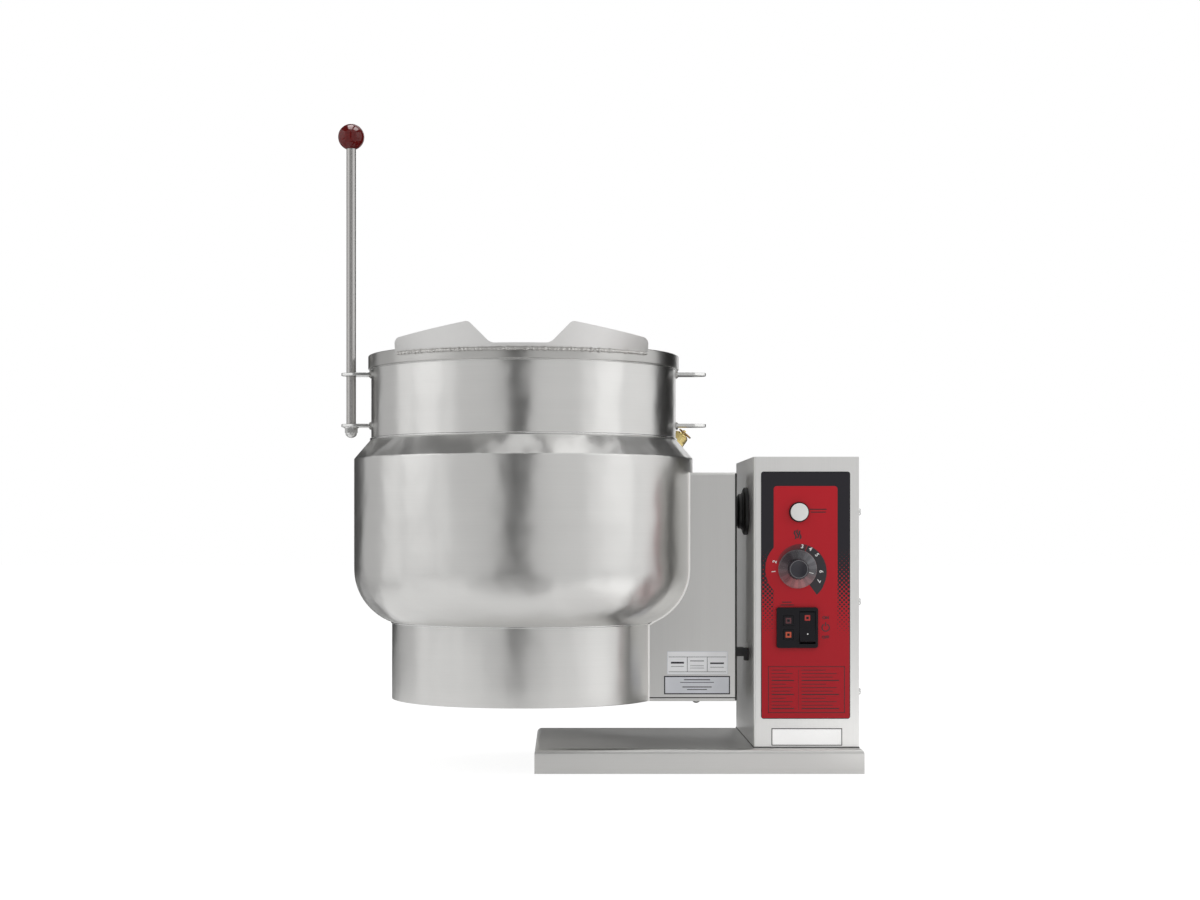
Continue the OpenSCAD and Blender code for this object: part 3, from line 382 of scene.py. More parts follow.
class Graph:
    """A node tree with short calls to add and link its nodes."""

    def __init__(self, tree: bpy.types.NodeTree) -> None:
        """Starts on an empty tree."""
        self.tree = tree
        tree.nodes.clear()

    def add(
        self, kind: str, inputs: dict[str | int, Value] | None = None, **settings: object
    ) -> bpy.types.Node:
        """Adds a node, sets its properties and fills its inputs.

        Args:
            kind: the node's type, without the "ShaderNode" before it.
            inputs: an input's name or number, and its value or the socket that feeds it.
            settings: the node's own properties.

        Returns:
            The node.
        """
        made = self.tree.nodes.new("ShaderNode" + kind)
        for key, value in settings.items():
            setattr(made, key, value)
        for key, value in (inputs or {}).items():
            self.fill(made.inputs[key], value)
        return made

    def fill(self, socket: Socket, value: Value) -> None:
        """Feeds a socket from another one, or gives it a number, vector or colour.

        Args:
            socket: the input.
            value: what goes in; a colour has three numbers.
        """
        if isinstance(value, Socket):
            self.tree.links.new(value, socket)
        elif socket.type == "RGBA":
            socket.default_value = (*value, 1)
        else:
            socket.default_value = value

    def maths(self, operation: str, a: Value, b: Value = 0.0, c: Value = 0.0) -> Socket:
        """One Math node.

        Args:
            operation: what it does.
            a: its first input.
            b: its second input.
            c: its third input.

        Returns:
            Its result.
        """
        return self.add("Math", {0: a, 1: b, 2: c}, operation=operation).outputs[0]

    def hypotenuse(self, a: Value, b: Value) -> Socket:
        """The root of the sum of two squares.

        Args:
            a: the first side.
            b: the second side.

        Returns:
            The third side.
        """
        squares = self.maths("ADD", self.maths("MULTIPLY", a, a), self.maths("MULTIPLY", b, b))
        return self.maths("SQRT", squares)

    def mix(self, factor: Value, first: Value, second: Value) -> Socket:
        """A colour mix.

        Args:
            factor: share of the second colour.
            first: the colour at 0.
            second: the colour at 1.

        Returns:
            The mixed colour.
        """
        return self.add("Mix", {0: factor, 6: first, 7: second}, data_type="RGBA").outputs[2]

    def noise(self, place: Socket, scale: Value, detail: float = 2, roughness: float = 0.5) -> Socket:
        """A cloud of noise from 0 to 1.

        Args:
            place: the point in the cloud.
            scale: its cycles per metre.
            detail: how many finer clouds are added.
            roughness: how strong the finer ones are.

        Returns:
            The value at that place.
        """
        inputs = {"Vector": place, "Scale": scale, "Detail": detail, "Roughness": roughness}
        return self.add("TexNoise", inputs).outputs[0]

    def share(self, value: Socket, low: float, high: float) -> Socket:
        """How far a value is on its way, clamped.

        Args:
            value: the value.
            low: what gives 0.
            high: what gives 1.

        Returns:
            The share.
        """
        return self.add("MapRange", {"Value": value, "From Min": low, "From Max": high}).outputs[0]

    def place(self) -> Socket:
        """The point on the piece, in metres."""
        return self.add("TexCoord").outputs["Object"]

    def axes(self, vector: Socket) -> dict[str, Socket]:
        """The X, Y and Z of a vector, by those names."""
        outputs = self.add("SeparateXYZ", {0: vector}).outputs
        return {axis: outputs[axis] for axis in "XYZ"}

    def close(self, inputs: dict[str | int, Value]) -> None:
        """Ends a material in a Principled shader with these inputs."""
        shader = self.add("BsdfPrincipled", inputs)
        self.add("OutputMaterial", {0: shader.outputs[0]})


def group(
    name: str, inputs: dict[str, tuple[str, object]]
) -> tuple[Graph, dict[str, Socket], dict[str, Socket]]:
    """An empty shader node group with named inputs, which puts out a colour, a roughness and a normal.

    Args:
        name: the group's name.
        inputs: name to (socket type, default value).

    Returns:
        Its graph, its input sockets and its output sockets.
    """
    outputs = {
        "Colour": "NodeSocketColor",
        "Roughness": "NodeSocketFloat",
        "Normal": "NodeSocketVector",
    }
    tree = bpy.data.node_groups.new(name, "ShaderNodeTree")
    for label, (kind, default) in inputs.items():
        tree.interface.new_socket(label, in_out="INPUT", socket_type=kind).default_value = default
    for label, kind in outputs.items():
        tree.interface.new_socket(label, in_out="OUTPUT", socket_type=kind)
    graph = Graph(tree)
    entry, end = tree.nodes.new("NodeGroupInput"), tree.nodes.new("NodeGroupOutput")
    return graph, {k: entry.outputs[k] for k in inputs}, {k: end.inputs[k] for k in outputs}


def put_out(
    graph: Graph, given: dict[str, Socket], out: dict[str, Socket],
    shade: Socket, rough: Socket, height: Socket, distance: float,
) -> None:
    """Feeds a group's outputs.

    Args:
        graph: the group's graph.
        given: its inputs, with a "Colour" and a "Depth".
        out: its outputs.
        shade: what the colour is multiplied by.
        rough: the roughness.
        height: the relief.
        distance: how deep the relief is, in metres, at a depth of 1.
    """
    colour = graph.add("VectorMath", {0: given["Colour"], "Scale": shade}, operation="SCALE")
    bump = graph.add("Bump", {"Strength": given["Depth"], "Distance": distance, "Height": height})
    graph.fill(out["Colour"], colour.outputs[0])
    graph.fill(out["Roughness"], rough)
    graph.fill(out["Normal"], bump.outputs[0])


def brushed_group() -> bpy.types.NodeTree:
    """Fine brushed lines with a slow cloudy change.

    Returns:
        The group's node tree.
    """
    graph, given, out = group(
        "brushed_lines",
        {
            "Cycles": ("NodeSocketVector", (5, 5, 620)),
            "Colour": ("NodeSocketColor", (0.7, 0.7, 0.7, 1)),
            "Roughness": ("NodeSocketFloat", 0.3),
            "Spread": ("NodeSocketFloat", 0.1),
            "Depth": ("NodeSocketFloat", 0.1),
            "Cloud": ("NodeSocketFloat", 0.05),
        },
    )
    place = graph.place()
    stretch = graph.add("VectorMath", {0: place, 1: given["Cycles"]}, operation="MULTIPLY").outputs[0]
    lines = graph.noise(stretch, 1, 5, 0.62)
    centred = graph.maths("SUBTRACT", lines, 0.5)
    rough = graph.maths("MULTIPLY_ADD", centred, given["Spread"], given["Roughness"])
    # Broad faint bands along the brush, as from the polishing wheel's passes
    passes = graph.maths("MULTIPLY_ADD", graph.noise(stretch, 0.05), 0.8, -0.4)
    cloud = graph.maths("ADD", graph.maths("SUBTRACT", graph.noise(place, 7), 0.5), passes)
    rough = graph.maths("MULTIPLY_ADD", cloud, given["Cloud"], rough)
    shade = graph.maths("MULTIPLY_ADD", cloud, given["Cloud"], 1.0)
    shade = graph.maths("MULTIPLY_ADD", centred, 0.07, shade)
    put_out(graph, given, out, shade, rough, lines, 0.4 * MM)
    return graph.tree


def speckle_group() -> bpy.types.NodeTree:
    """Fine even grain for plastics, rubber, cast metal and paint.

    Returns:
        The group's node tree.
    """
    graph, given, out = group(
        "fine_grain",
        {
            "Scale": ("NodeSocketFloat", 900.0),
            "Colour": ("NodeSocketColor", (0.1, 0.1, 0.1, 1)),
            "Roughness": ("NodeSocketFloat", 0.4),
            "Spread": ("NodeSocketFloat", 0.1),
            "Depth": ("NodeSocketFloat", 0.1),
        },
    )
    place = graph.place()
    fine = graph.noise(place, given["Scale"], 3)
    centred = graph.maths("SUBTRACT", fine, 0.5)
    rough = graph.maths("MULTIPLY_ADD", centred, given["Spread"], given["Roughness"])
    slow = graph.maths("SUBTRACT", graph.noise(place, 30), 0.5)
    shade = graph.maths("MULTIPLY_ADD", slow, 0.2, 1.0)
    put_out(graph, given, out, shade, rough, fine, 0.3 * MM)
    return graph.tree


@cache
def shared_group(make: Callable[[], bpy.types.NodeTree]) -> bpy.types.NodeTree:
    """A node group, made once."""
    return make()


def new_material(name: str) -> tuple[bpy.types.Material, Graph]:
    """A material with no nodes yet.

    Args:
        name: the material's name.

    Returns:
        The material and its graph.
    """
    material = bpy.data.materials.new(name)
    material.use_nodes = True
    return material, Graph(material.node_tree)


@dataclass(frozen=True)
class BrushedSteel:
    """Stainless steel with a fine brushed grain.

    A turned piece's highlights are drawn out along its height, across the lines of the brush.
    """

    name: str
    colour: Colour = (0.72, 0.715, 0.70)
    roughness: float = 0.31
    grain: Grain = Grain.LEVEL
    spread: float = 0.07
    depth: float = 0.03
    cloud: float = 0.08
    wave: float = 0.0
    slope_wave: float = 0.0
    wave_cycles: float = 13.0
    round_piece: bool = False

    def build(self) -> bpy.types.Material:
        """Makes the material.

        Returns:
            The material.
        """
        material, graph = new_material(self.name)
        lines = graph.add(
            "Group",
            {
                "Cycles": self.grain.value, "Colour": self.colour, "Roughness": self.roughness,
                "Spread": self.spread, "Depth": self.depth, "Cloud": self.cloud,
            },
            node_tree=shared_group(brushed_group),
        ).outputs
        inputs = {
            "Base Color": lines["Colour"],
            "Roughness": lines["Roughness"],
            "Normal": self.worked(graph, lines["Normal"]),
            "Metallic": 1,
        }
        if self.round_piece:
            tangent = graph.add("Tangent", direction_type="RADIAL", axis="Z").outputs[0]
            inputs |= {"Anisotropic": 0.75, "Anisotropic Rotation": 0.25, "Tangent": tangent}
        graph.close(inputs)
        return material

    def worked(self, graph: Graph, normal: Socket) -> Socket:
        """The slow waviness that grinding and spinning leave, strongest where the sheet slopes.

        Args:
            graph: the material's graph.
            normal: the normal with the fine lines.

        Returns:
            The normal with both.
        """
        if not self.wave:
            return normal
        slow = graph.noise(graph.place(), self.wave_cycles, 1.5)
        face = graph.axes(graph.add("NewGeometry").outputs["True Normal"])
        slope = graph.maths("ABSOLUTE", face["Z"])
        sloping = graph.maths("MULTIPLY", slope, graph.maths("SUBTRACT", 1.0, slope))
        distance = graph.maths("MULTIPLY_ADD", sloping, self.slope_wave, self.wave)
        bump = graph.add("Bump", {"Distance": distance, "Height": slow, "Normal": normal})
        return bump.outputs[0]


@dataclass(frozen=True)
class Grained:
    """Plastic, rubber, paint or plain metal with a fine even grain."""

    name: str
    colour: Colour
    roughness: float = 0.4
    metallic: float = 0.0
    scale: float = 900.0
    spread: float = 0.12
    depth: float = 0.12
    coat: float = 0.0
    glow: float = 0.0
    shine: float = 0.5

    def build(self) -> bpy.types.Material:
        """Makes the material.

        Returns:
            The material.
        """
        material, graph = new_material(self.name)
        grain = graph.add(
            "Group",
            {
                "Scale": self.scale, "Colour": self.colour, "Roughness": self.roughness,
                "Spread": self.spread, "Depth": self.depth,
            },
            node_tree=shared_group(speckle_group),
        ).outputs
        inputs = {
            "Base Color": grain["Colour"],
            "Roughness": grain["Roughness"],
            "Normal": grain["Normal"],
            "Metallic": self.metallic,
            "Specular IOR Level": self.shine,
            "Coat Weight": self.coat,
            "Coat Roughness": 0.08,
        }
        # Glow is real light in the lamps, and painted light on the sealant and the nameplate's label
        if self.glow > 0:
            inputs |= {"Emission Color": self.colour, "Emission Strength": self.glow}
        graph.close(inputs)
        return material


@dataclass(frozen=True)
class Phenolic:
    """Glossy dark moulded resin with a faint mottle, as on a ball knob."""

    name: str
    dark: Colour = (0.105, 0.006, 0.006)
    light: Colour = (0.15, 0.011, 0.01)

    def build(self) -> bpy.types.Material:
        """Makes the material.

        Returns:
            The material.
        """
        material, graph = new_material(self.name)
        mottle = graph.noise(graph.place(), 320, 6)
        graph.close({
            "Base Color": graph.mix(graph.share(mottle, 0.4, 0.7), self.dark, self.light),
            "Roughness": graph.maths("MULTIPLY_ADD", mottle, 0.04, 0.1),
            "Specular IOR Level": 0.3,
            "Coat Weight": 0.08,
            "Coat Roughness": 0.05,
        })
        return material


@dataclass(frozen=True)
class PanelFilm:
    """The printed control film: red, with a black border that breaks into dots on its way down.

    Heights and places are in the object's own frame, in metres.
    """

    name: str
    centre_x: float
    half_film: float
    red_top: float
    film_foot: float
    dial: Flat
    half_red: float = 40.9 * MM
    red_corner: float = 4 * MM
    bulge: float = 41 * MM
    fade_top: float = 301 * MM
    fade_bottom: float = 168 * MM
    deep_from: float = 110 * MM
    line: float = 0.9 * MM
    dots: float = 5.6 * MM
    red: Colour = (0.52, 0.004, 0.014)
    deep_red: Colour = (0.42, 0.003, 0.012)
    black: Colour = (0.02, 0.018, 0.024)

    def build(self) -> bpy.types.Material:
        """Makes the material.

        Returns:
            The material.
        """
        material, graph = new_material(self.name)
        place = graph.place()
        axes = graph.axes(place)
        x, z = axes["X"], axes["Z"]
        off = graph.maths("ABSOLUTE", graph.maths("SUBTRACT", x, self.centre_x))
        ink = graph.maths("MULTIPLY", self.border(graph, x, z, off), self.dotted(graph, x, z))
        from_edge = graph.maths("SUBTRACT", self.half_film, off)
        from_edge = graph.maths("MINIMUM", from_edge, graph.maths("SUBTRACT", z, self.film_foot))
        ink = graph.maths("MAXIMUM", ink, graph.maths("LESS_THAN", from_edge, self.line))
        # Painted shade: the red darkens a little towards the film's foot
        red = graph.mix(graph.share(z, self.deep_from, self.red_top), self.deep_red, self.red)
        fine = graph.noise(place, 1500)
        bump = graph.add("Bump", {"Strength": 0.05, "Distance": 0.3 * MM, "Height": fine})
        graph.close({
            "Base Color": graph.mix(ink, red, self.black),
            "Roughness": graph.maths("MULTIPLY_ADD", fine, 0.14, 0.34),
            "Normal": bump.outputs[0],
            "Specular IOR Level": 0.25,
        })
        return material

    def border(self, graph: Graph, x: Socket, z: Socket, off: Socket) -> Socket:
        """Where the black border lies: outside the red field and its round bulge at the dial.

        Args:
            graph: the material's graph.
            x: place along the film.
            z: height on the film.
            off: distance from the film's middle.

        Returns:
            1 on the border and 0 on the red.
        """
        beside = graph.maths("SUBTRACT", off, self.half_red - self.red_corner)
        above = graph.maths("SUBTRACT", z, self.red_top - self.red_corner)
        outside = graph.hypotenuse(graph.maths("MAXIMUM", beside, 0.0), graph.maths("MAXIMUM", above, 0.0))
        inside = graph.maths("MINIMUM", graph.maths("MAXIMUM", beside, above), 0.0)
        outside = graph.maths("SUBTRACT", graph.maths("ADD", outside, inside), self.red_corner)
        across, up = graph.maths("SUBTRACT", x, self.dial[0]), graph.maths("SUBTRACT", z, self.dial[1])
        from_bulge = graph.maths("SUBTRACT", graph.hypotenuse(across, up), self.bulge)
        return graph.maths("GREATER_THAN", graph.maths("MINIMUM", outside, from_bulge), 0.0)

    def dotted(self, graph: Graph, x: Socket, z: Socket) -> Socket:
        """Dots on a diagonal lattice that fill up with height, from none to solid black.

        Args:
            graph: the material's graph.
            x: place along the film.
            z: height on the film.

        Returns:
            1 where there is ink and 0 between the dots.
        """
        parts = []
        for value in (graph.maths("ADD", x, z), graph.maths("SUBTRACT", x, z)):
            cells = graph.maths("DIVIDE", graph.maths("ADD", value, 10.0), self.dots)
            cell = graph.maths("FRACT", cells)
            parts.append(graph.maths("ABSOLUTE", graph.maths("SUBTRACT", cell, 0.5)))
        filled = graph.maths("POWER", graph.share(z, self.fade_bottom, self.fade_top), 0.78)
        return graph.maths("LESS_THAN", graph.hypotenuse(*parts), graph.maths("MULTIPLY", filled, 0.75))


@dataclass(frozen=True)
class SmokyMoulding:
    """Smoky clear moulding round a dial, its colour painted with reflections: grey at its sides, dark on
    top, red below where it mirrors the panel, a painted highlight round its edge and painted shade
    on every other facet.

    The painted reflection runs from the left (0) over the foot (0.25), the right (0.5) and the top
    (0.75) back to the left (1).
    """

    name: str
    centre: Flat
    edge_r: float
    facets: int = 14
    facet_dark: Colour = (0.03, 0.02, 0.024)
    edge_light: Colour = (0.4, 0.34, 0.35)
    stops: tuple[tuple[float, Colour], ...] = (
        (0.0, (0.13, 0.085, 0.095)),
        (0.12, (0.26, 0.075, 0.085)),
        (0.25, (0.42, 0.12, 0.125)),
        (0.36, (0.27, 0.13, 0.14)),
        (0.46, (0.11, 0.105, 0.115)),
        (0.58, (0.17, 0.17, 0.185)),
        (0.68, (0.1, 0.095, 0.105)),
        (0.76, (0.035, 0.033, 0.04)),
        (0.88, (0.05, 0.035, 0.042)),
        (1.0, (0.13, 0.085, 0.095)),
    )

    def build(self) -> bpy.types.Material:
        """Makes the material.

        Returns:
            The material.
        """
        material, graph = new_material(self.name)
        place = graph.place()
        axes = graph.axes(place)
        dx = graph.maths("SUBTRACT", axes["X"], self.centre[0])
        dz = graph.maths("SUBTRACT", axes["Z"], self.centre[1])
        share = graph.maths("MULTIPLY_ADD", graph.maths("ARCTAN2", dz, dx), 1 / TAU, 0.5)
        # Painted reflections: the colour changes round the skirt with what it would mirror
        ramp = graph.add("ValToRGB", {0: share})
        while len(ramp.color_ramp.elements) < len(self.stops):
            ramp.color_ramp.elements.new(0.5)
        for element, (position, colour) in zip(ramp.color_ramp.elements, self.stops):
            element.position = position
            element.color = (*colour, 1)
        # Painted shade on every other facet
        turns = graph.maths("FRACT", graph.maths("MULTIPLY", share, self.facets))
        facet = graph.maths("MULTIPLY", graph.maths("GREATER_THAN", turns, 0.5), 0.28)
        facet_shaded = graph.mix(facet, ramp.outputs[0], self.facet_dark)
        # Painted highlight on a band round the skirt's edge
        edge = graph.maths("GREATER_THAN", graph.hypotenuse(dx, dz), self.edge_r)
        edge = graph.maths("MULTIPLY", edge, 0.16)
        graph.close({
            "Base Color": graph.mix(edge, facet_shaded, self.edge_light),
            "Roughness": graph.maths("MULTIPLY_ADD", graph.noise(place, 900), 0.12, 0.2),
            "Coat Weight": 0.3,
            "Coat Roughness": 0.08,
        })
        return material


class Finishes:
    """Every material of the object, by the part of the maker's list that it belongs to."""

    def __init__(self, film: PanelFilm, dial_skirt: SmokyMoulding) -> None:
        """Builds the materials.

        Args:
            film: the printed film on the console.
            dial_skirt: the clear skirt of the dial.
        """
        self.film = film.build()
        self.skirt_plastic = dial_skirt.build()
        self.phenolic = Phenolic("phenolic_maroon").build()
        self.make_steels()
        self.make_metals()
        self.make_plastics()
        self.make_prints()

    def make_steels(self) -> None:
        """The brushed sheets, shells and bars."""
        wave, slope_wave = 3 * MM, 32 * MM
        turned_steel = BrushedSteel("steel_turned", wave=wave, slope_wave=slope_wave, round_piece=True)
        self.round_steel = turned_steel.build()
        self.bowl_steel = BrushedSteel("steel_bowl", wave=wave, round_piece=True).build()
        # Painted shade: the rim's and the rod's steel are darker copies of the same steel
        rim = BrushedSteel("steel_rim", colour=(0.56, 0.555, 0.54), roughness=0.33, round_piece=True)
        self.rim_steel = rim.build()
        self.rod_steel = BrushedSteel(
            "steel_rod", colour=(0.44, 0.43, 0.42), roughness=0.24, spread=0.03, depth=0.008
        ).build()
        # Painted light and shade: the same brushed steel is lightest on the console and darker on the box and
        # the base
        sheets = {
            "steel_console": ((0.88, 0.875, 0.86), 0.38, Grain.UPRIGHT),
            "steel_box": ((0.72, 0.715, 0.70), 0.34, Grain.UPRIGHT),
            "steel_base": ((0.69, 0.685, 0.67), 0.36, Grain.ALONG_X),
            "steel_satin_lip": ((0.76, 0.755, 0.745), 0.46, Grain.CLOUDY),
            "steel_bright": ((0.7, 0.7, 0.69), 0.2, Grain.CLOUDY),
        }
        self.console_steel, self.box_steel, self.base_steel, self.satin_steel, self.bright_steel = (
            BrushedSteel(name, colour, roughness, grain).build()
            for name, (colour, roughness, grain) in sheets.items()
        )

    def make_metals(self) -> None:
        """The weld, the cast and the plain metals."""
        self.weld = Grained("weld_bead", (0.6, 0.59, 0.57), 0.26, 1.0, 1100, spread=0.8, depth=1.0).build()
        self.plain_steel = Grained("steel_plain", (0.3, 0.3, 0.31), 0.42, 1.0, 600).build()
        self.brass = Grained("brass_valve", (0.74, 0.6, 0.26), 0.24, 1.0, 500, spread=0.2, depth=0.1).build()
        self.bronze = Grained("bronze_bearing", (0.5, 0.32, 0.14), 0.35, 1.0, 700).build()
        self.sheath = Grained("sheath_dark", (0.09, 0.09, 0.095), 0.4, 1.0, 500).build()

    def make_plastics(self) -> None:
        """Rubber, which also paints shadow lines, paint, sealant, plastics and lamps."""
        # The same black finish also paints the shadow lines at the element box's edge and foot
        self.rubber = Grained("rubber_seal_and_painted_shadow", (0.012, 0.012, 0.012), 0.5, scale=1200).build()
        self.black_paint = Grained("paint_black", (0.014, 0.014, 0.015), 0.35, scale=1500).build()
        self.black_plastic = Grained(
            "plastic_black", (0.009, 0.008, 0.011), 0.3, scale=1800, depth=0.1, shine=0.2
        ).build()
        self.hub_plastic = Grained("plastic_hub", (0.02, 0.018, 0.027), 0.32, scale=1800, depth=0.1).build()
        self.grey_plastic = Grained("plastic_grey", (0.2, 0.2, 0.21), 0.36, scale=1500).build()
        self.white_plastic = Grained("plastic_white", (0.82, 0.82, 0.8), 0.35, depth=0.05).build()
        self.moulding = Grained("moulding_light", (0.68, 0.66, 0.6), 0.45, scale=700).build()
        self.lamp_off = Grained("lamp_off", (0.09, 0.014, 0.02), 0.25, scale=700, coat=0.3).build()
        self.lamp_lit = Grained("lamp_lit", (0.5, 0.075, 0.03), 0.25, scale=700, glow=0.06).build()
        self.lamp_red = Grained("lamp_red", (0.42, 0.025, 0.02), 0.25, scale=700, glow=0.04).build()
        # The sealant's glow is painted light that brightens the white bead
        self.sealant = Grained("sealant", (0.93, 0.92, 0.9), 0.3, scale=500, depth=0.3, glow=0.12).build()
        # Dark sealant; the same dark bead also stands as painted shade in the crease beside the box's sealant
        self.dark_sealant = Grained("sealant_dark_and_gap_shade", (0.05, 0.05, 0.05), 0.45, scale=500, depth=0.3).build()

    def make_prints(self) -> None:
        """The inks, and the plates that carry them."""
        inks = {
            "print_black": ((0.022, 0.018, 0.024), 0.42),
            "print_dark_red": ((0.03, 0.008, 0.011), 0.42),
            "print_white": ((0.8, 0.8, 0.79), 0.45),
        }
        self.print_black, self.print_dark_red, self.print_white = (
            Grained(name, colour, roughness, scale=2500, depth=0.05).build()
            for name, (colour, roughness) in inks.items()
        )
        self.plate_white = Grained("plate_white", (0.9, 0.905, 0.92), 0.4, scale=700, depth=0.05).build()
        self.plate_grey = Grained("plate_grey", (0.72, 0.735, 0.78), 0.42, scale=700, depth=0.05).build()
        # The label glows a little as painted light, brighter than it is lit
        self.label_white = Grained(
            "label_white", (0.95, 0.95, 0.94), 0.4, scale=700, depth=0.05, glow=0.2
        ).build()


def dress(
    obj: bpy.types.Object, body: Body, material: bpy.types.Material
) -> bpy.types.Object:
    """Gives a piece its material and its body, and reports it.

    Args:
        obj: the piece.
        body: the body that it rides on.
        material: its finish.

    Returns:
        The same piece.
    """
    obj.data.materials.clear()
    obj.data.materials.append(material)
    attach(obj, body.value)
    log.info("%s: %d faces on %s", obj.name, len(obj.data.polygons), body.value)
    return obj


def paint_node(node: str, material: bpy.types.Material) -> None:
    """Gives a CAD node that stays as it is its finish.

    Args:
        node: the CAD node.
        material: its finish.
    """
    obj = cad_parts[node]
    obj.data.materials.clear()
    obj.data.materials.append(material)


# The object's pieces


def node_box(node: str) -> tuple[Vector, Vector]:
    """Lowest and highest corners of a CAD node."""
    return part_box(node)


def node_middle(node: str) -> Vector:
    """Middle of a CAD node's box."""
    low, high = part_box(node)
    return (low + high) / 2


class Copy(NamedTuple):
    """A piece that is a CAD node's own mesh with its edges rounded."""

    node: str
    name: str
    rounding: float
    segments: int
    material: bpy.types.Material
    slot: str

    def build(self, body: Body) -> bpy.types.Object:
        """Makes the piece and dresses it.

        Args:
            body: the body that it rides on.

        Returns:
            The piece.
        """
        piece = from_node(self.node, self.name, self.rounding * MM, self.segments)
        return dress(piece, body, self.material)


@dataclass
class Shell:
    """The kettle's turned shells: bowl, rim bar, jacket and pedestal skirt."""

    finishes: Finishes
    jacket_curve: float = 75 * MM
    jacket_crown: float = 101 * MM
    shoulder_h: float = 26 * MM
    wall: float = 3 * MM
    neck_gap: float = 0.2 * MM
    bowl_curve: float = 58 * MM
    bowl_depth: float = 76 * MM
    rim_round: float = 1.5 * MM
    rim_edge: float = 0.4 * MM
    bend_round: float = 4 * MM
    skirt_wall: float = 2 * MM
    skirt_edge: float = 1 * MM
    ledge_in: float = 14 * MM
    ledge_low: float = 5.6 * MM
    ledge_top: float = 7.5 * MM
    steps: int = 160
    centre: Flat = field(init=False)
    jacket_r: float = field(init=False)
    neck_r: float = field(init=False)
    rim_r: float = field(init=False)

    def __post_init__(self) -> None:
        """Reads the shells' places from the frame."""
        low, high = node_box("rim_bar")
        self.centre = ((low.x + high.x) / 2, (low.y + high.y) / 2)
        self.rim_r = (high.x - low.x) / 2
        self.rim_low, self.rim_top = low.z, high.z
        low, high = node_box("bowl")
        self.neck_r, self.bowl_low = (high.x - low.x) / 2, low.z
        low, high = node_box("jacket")
        self.jacket_r = self.centre[0] - low.x
        self.jacket_low, self.neck_z = low.z, high.z
        low, high = node_box("pedestal_skirt")
        self.skirt_r, self.skirt_low = (high.x - low.x) / 2, low.z

    @staticmethod
    def dish(edge: float, knuckle: float, depth: float, z: float, steps: int = 20) -> list[Flat]:
        """Half outline of a dished end from its edge to the axis.

        Args:
            edge: radius at its edge.
            knuckle: radius of the curve at the edge.
            depth: how far its middle lies below the knuckle's centre.
            z: height of the knuckle's centre.
            steps: points on each of its two arcs.

        Returns:
            Points of (radius, height).
        """
        crown = knuckle + ((edge - knuckle) ** 2 + (depth - knuckle) ** 2) / (2 * (depth - knuckle))
        turn = math.degrees(math.asin((edge - knuckle) / (crown - knuckle)))
        crown_arc = arc((0, z - depth + crown), crown, turn - 90, -90, steps)
        return arc((edge - knuckle, z), knuckle, 0, turn - 90, steps) + crown_arc[1:]

    @staticmethod
    def bend(a: Flat, b: Flat, c: Flat, radius: float, steps: int = 8) -> list[Flat]:
        """The rounded corner at b on the way from a to c.

        Args:
            a: the point before the corner.
            b: the corner.
            c: the point after it.
            radius: the rounding.
            steps: parts of the rounding.

        Returns:
            Points of the rounding.
        """
        corner = Vector(b)
        u, v = (Vector(a) - corner).normalized(), (Vector(c) - corner).normalized()
        half = u.angle(v) / 2
        first = corner + u * radius / math.tan(half)
        last = corner + v * radius / math.tan(half)
        middle = corner + (u + v).normalized() * radius / math.sin(half)
        start = first - middle
        sweep = start.angle_signed(last - middle)
        return [tuple(middle + Matrix.Rotation(-sweep * i / steps, 2) @ start) for i in range(steps + 1)]

    def curve_z(self) -> float:
        """Height of the centre of the jacket's lower curve."""
        return self.jacket_low + self.jacket_crown

    def skirt_meet(self) -> float:
        """Height at which the skirt's side meets the jacket's lower curve."""
        offset = self.skirt_r - self.jacket_r + self.jacket_curve
        return self.curve_z() - math.sqrt(self.jacket_curve**2 - offset**2)

    def spin(
        self, name: str, outline: Sequence[Flat], material: bpy.types.Material, node: str | None = None
    ) -> None:
        """Turns an outline about the kettle's axis and dresses the piece.

        Args:
            name: the piece's name.
            outline: closed profile of (radius, height).
            material: its finish.
            node: the CAD node that it stands for, if any.
        """
        obj = lathe(name, outline, self.centre, self.steps)
        if node is not None:
            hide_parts(node)
        dress(obj, Body.KETTLE, material)

    def make_jacket(self) -> None:
        """The jacket with its sloping shoulder, rounded where it turns down."""
        shoulder = self.neck_z - self.shoulder_h
        neck, inner_r = self.neck_r + self.neck_gap, self.jacket_r - self.wall
        low = (self.jacket_r, self.curve_z())
        outer = [(neck, self.neck_z)]
        outer += self.bend(outer[0], (self.jacket_r, shoulder), low, self.bend_round)
        outer += self.dish(self.jacket_r, self.jacket_curve, self.jacket_crown, self.curve_z(), 24)
        inner = [(neck, self.neck_z - 2 * self.wall), (inner_r, shoulder - self.wall)]
        inner += self.dish(
            inner_r, self.jacket_curve - self.wall, self.jacket_crown - self.wall, self.curve_z(), 16
        )
        self.spin("jacket_shell", outer + inner[::-1], self.finishes.round_steel, "jacket")

    def make_bowl(self) -> None:
        """The bowl with its neck, smooth inside and out."""
        centre_z = self.bowl_low + self.bowl_depth
        inner_r = self.neck_r - self.wall
        # Two more rings at the neck's foot keep its shading straight beside the shoulder
        outer = [(self.neck_r, z) for z in (self.rim_low, self.neck_z + 1 * MM, self.neck_z - 8 * MM)]
        outer += self.dish(self.neck_r, self.bowl_curve, self.bowl_depth, centre_z)
        inner = [(inner_r, self.rim_low)]
        inner += self.dish(inner_r, self.bowl_curve - self.wall, self.bowl_depth - self.wall, centre_z)
        self.spin("bowl_shell", outer + inner[::-1], self.finishes.bowl_steel, "bowl")

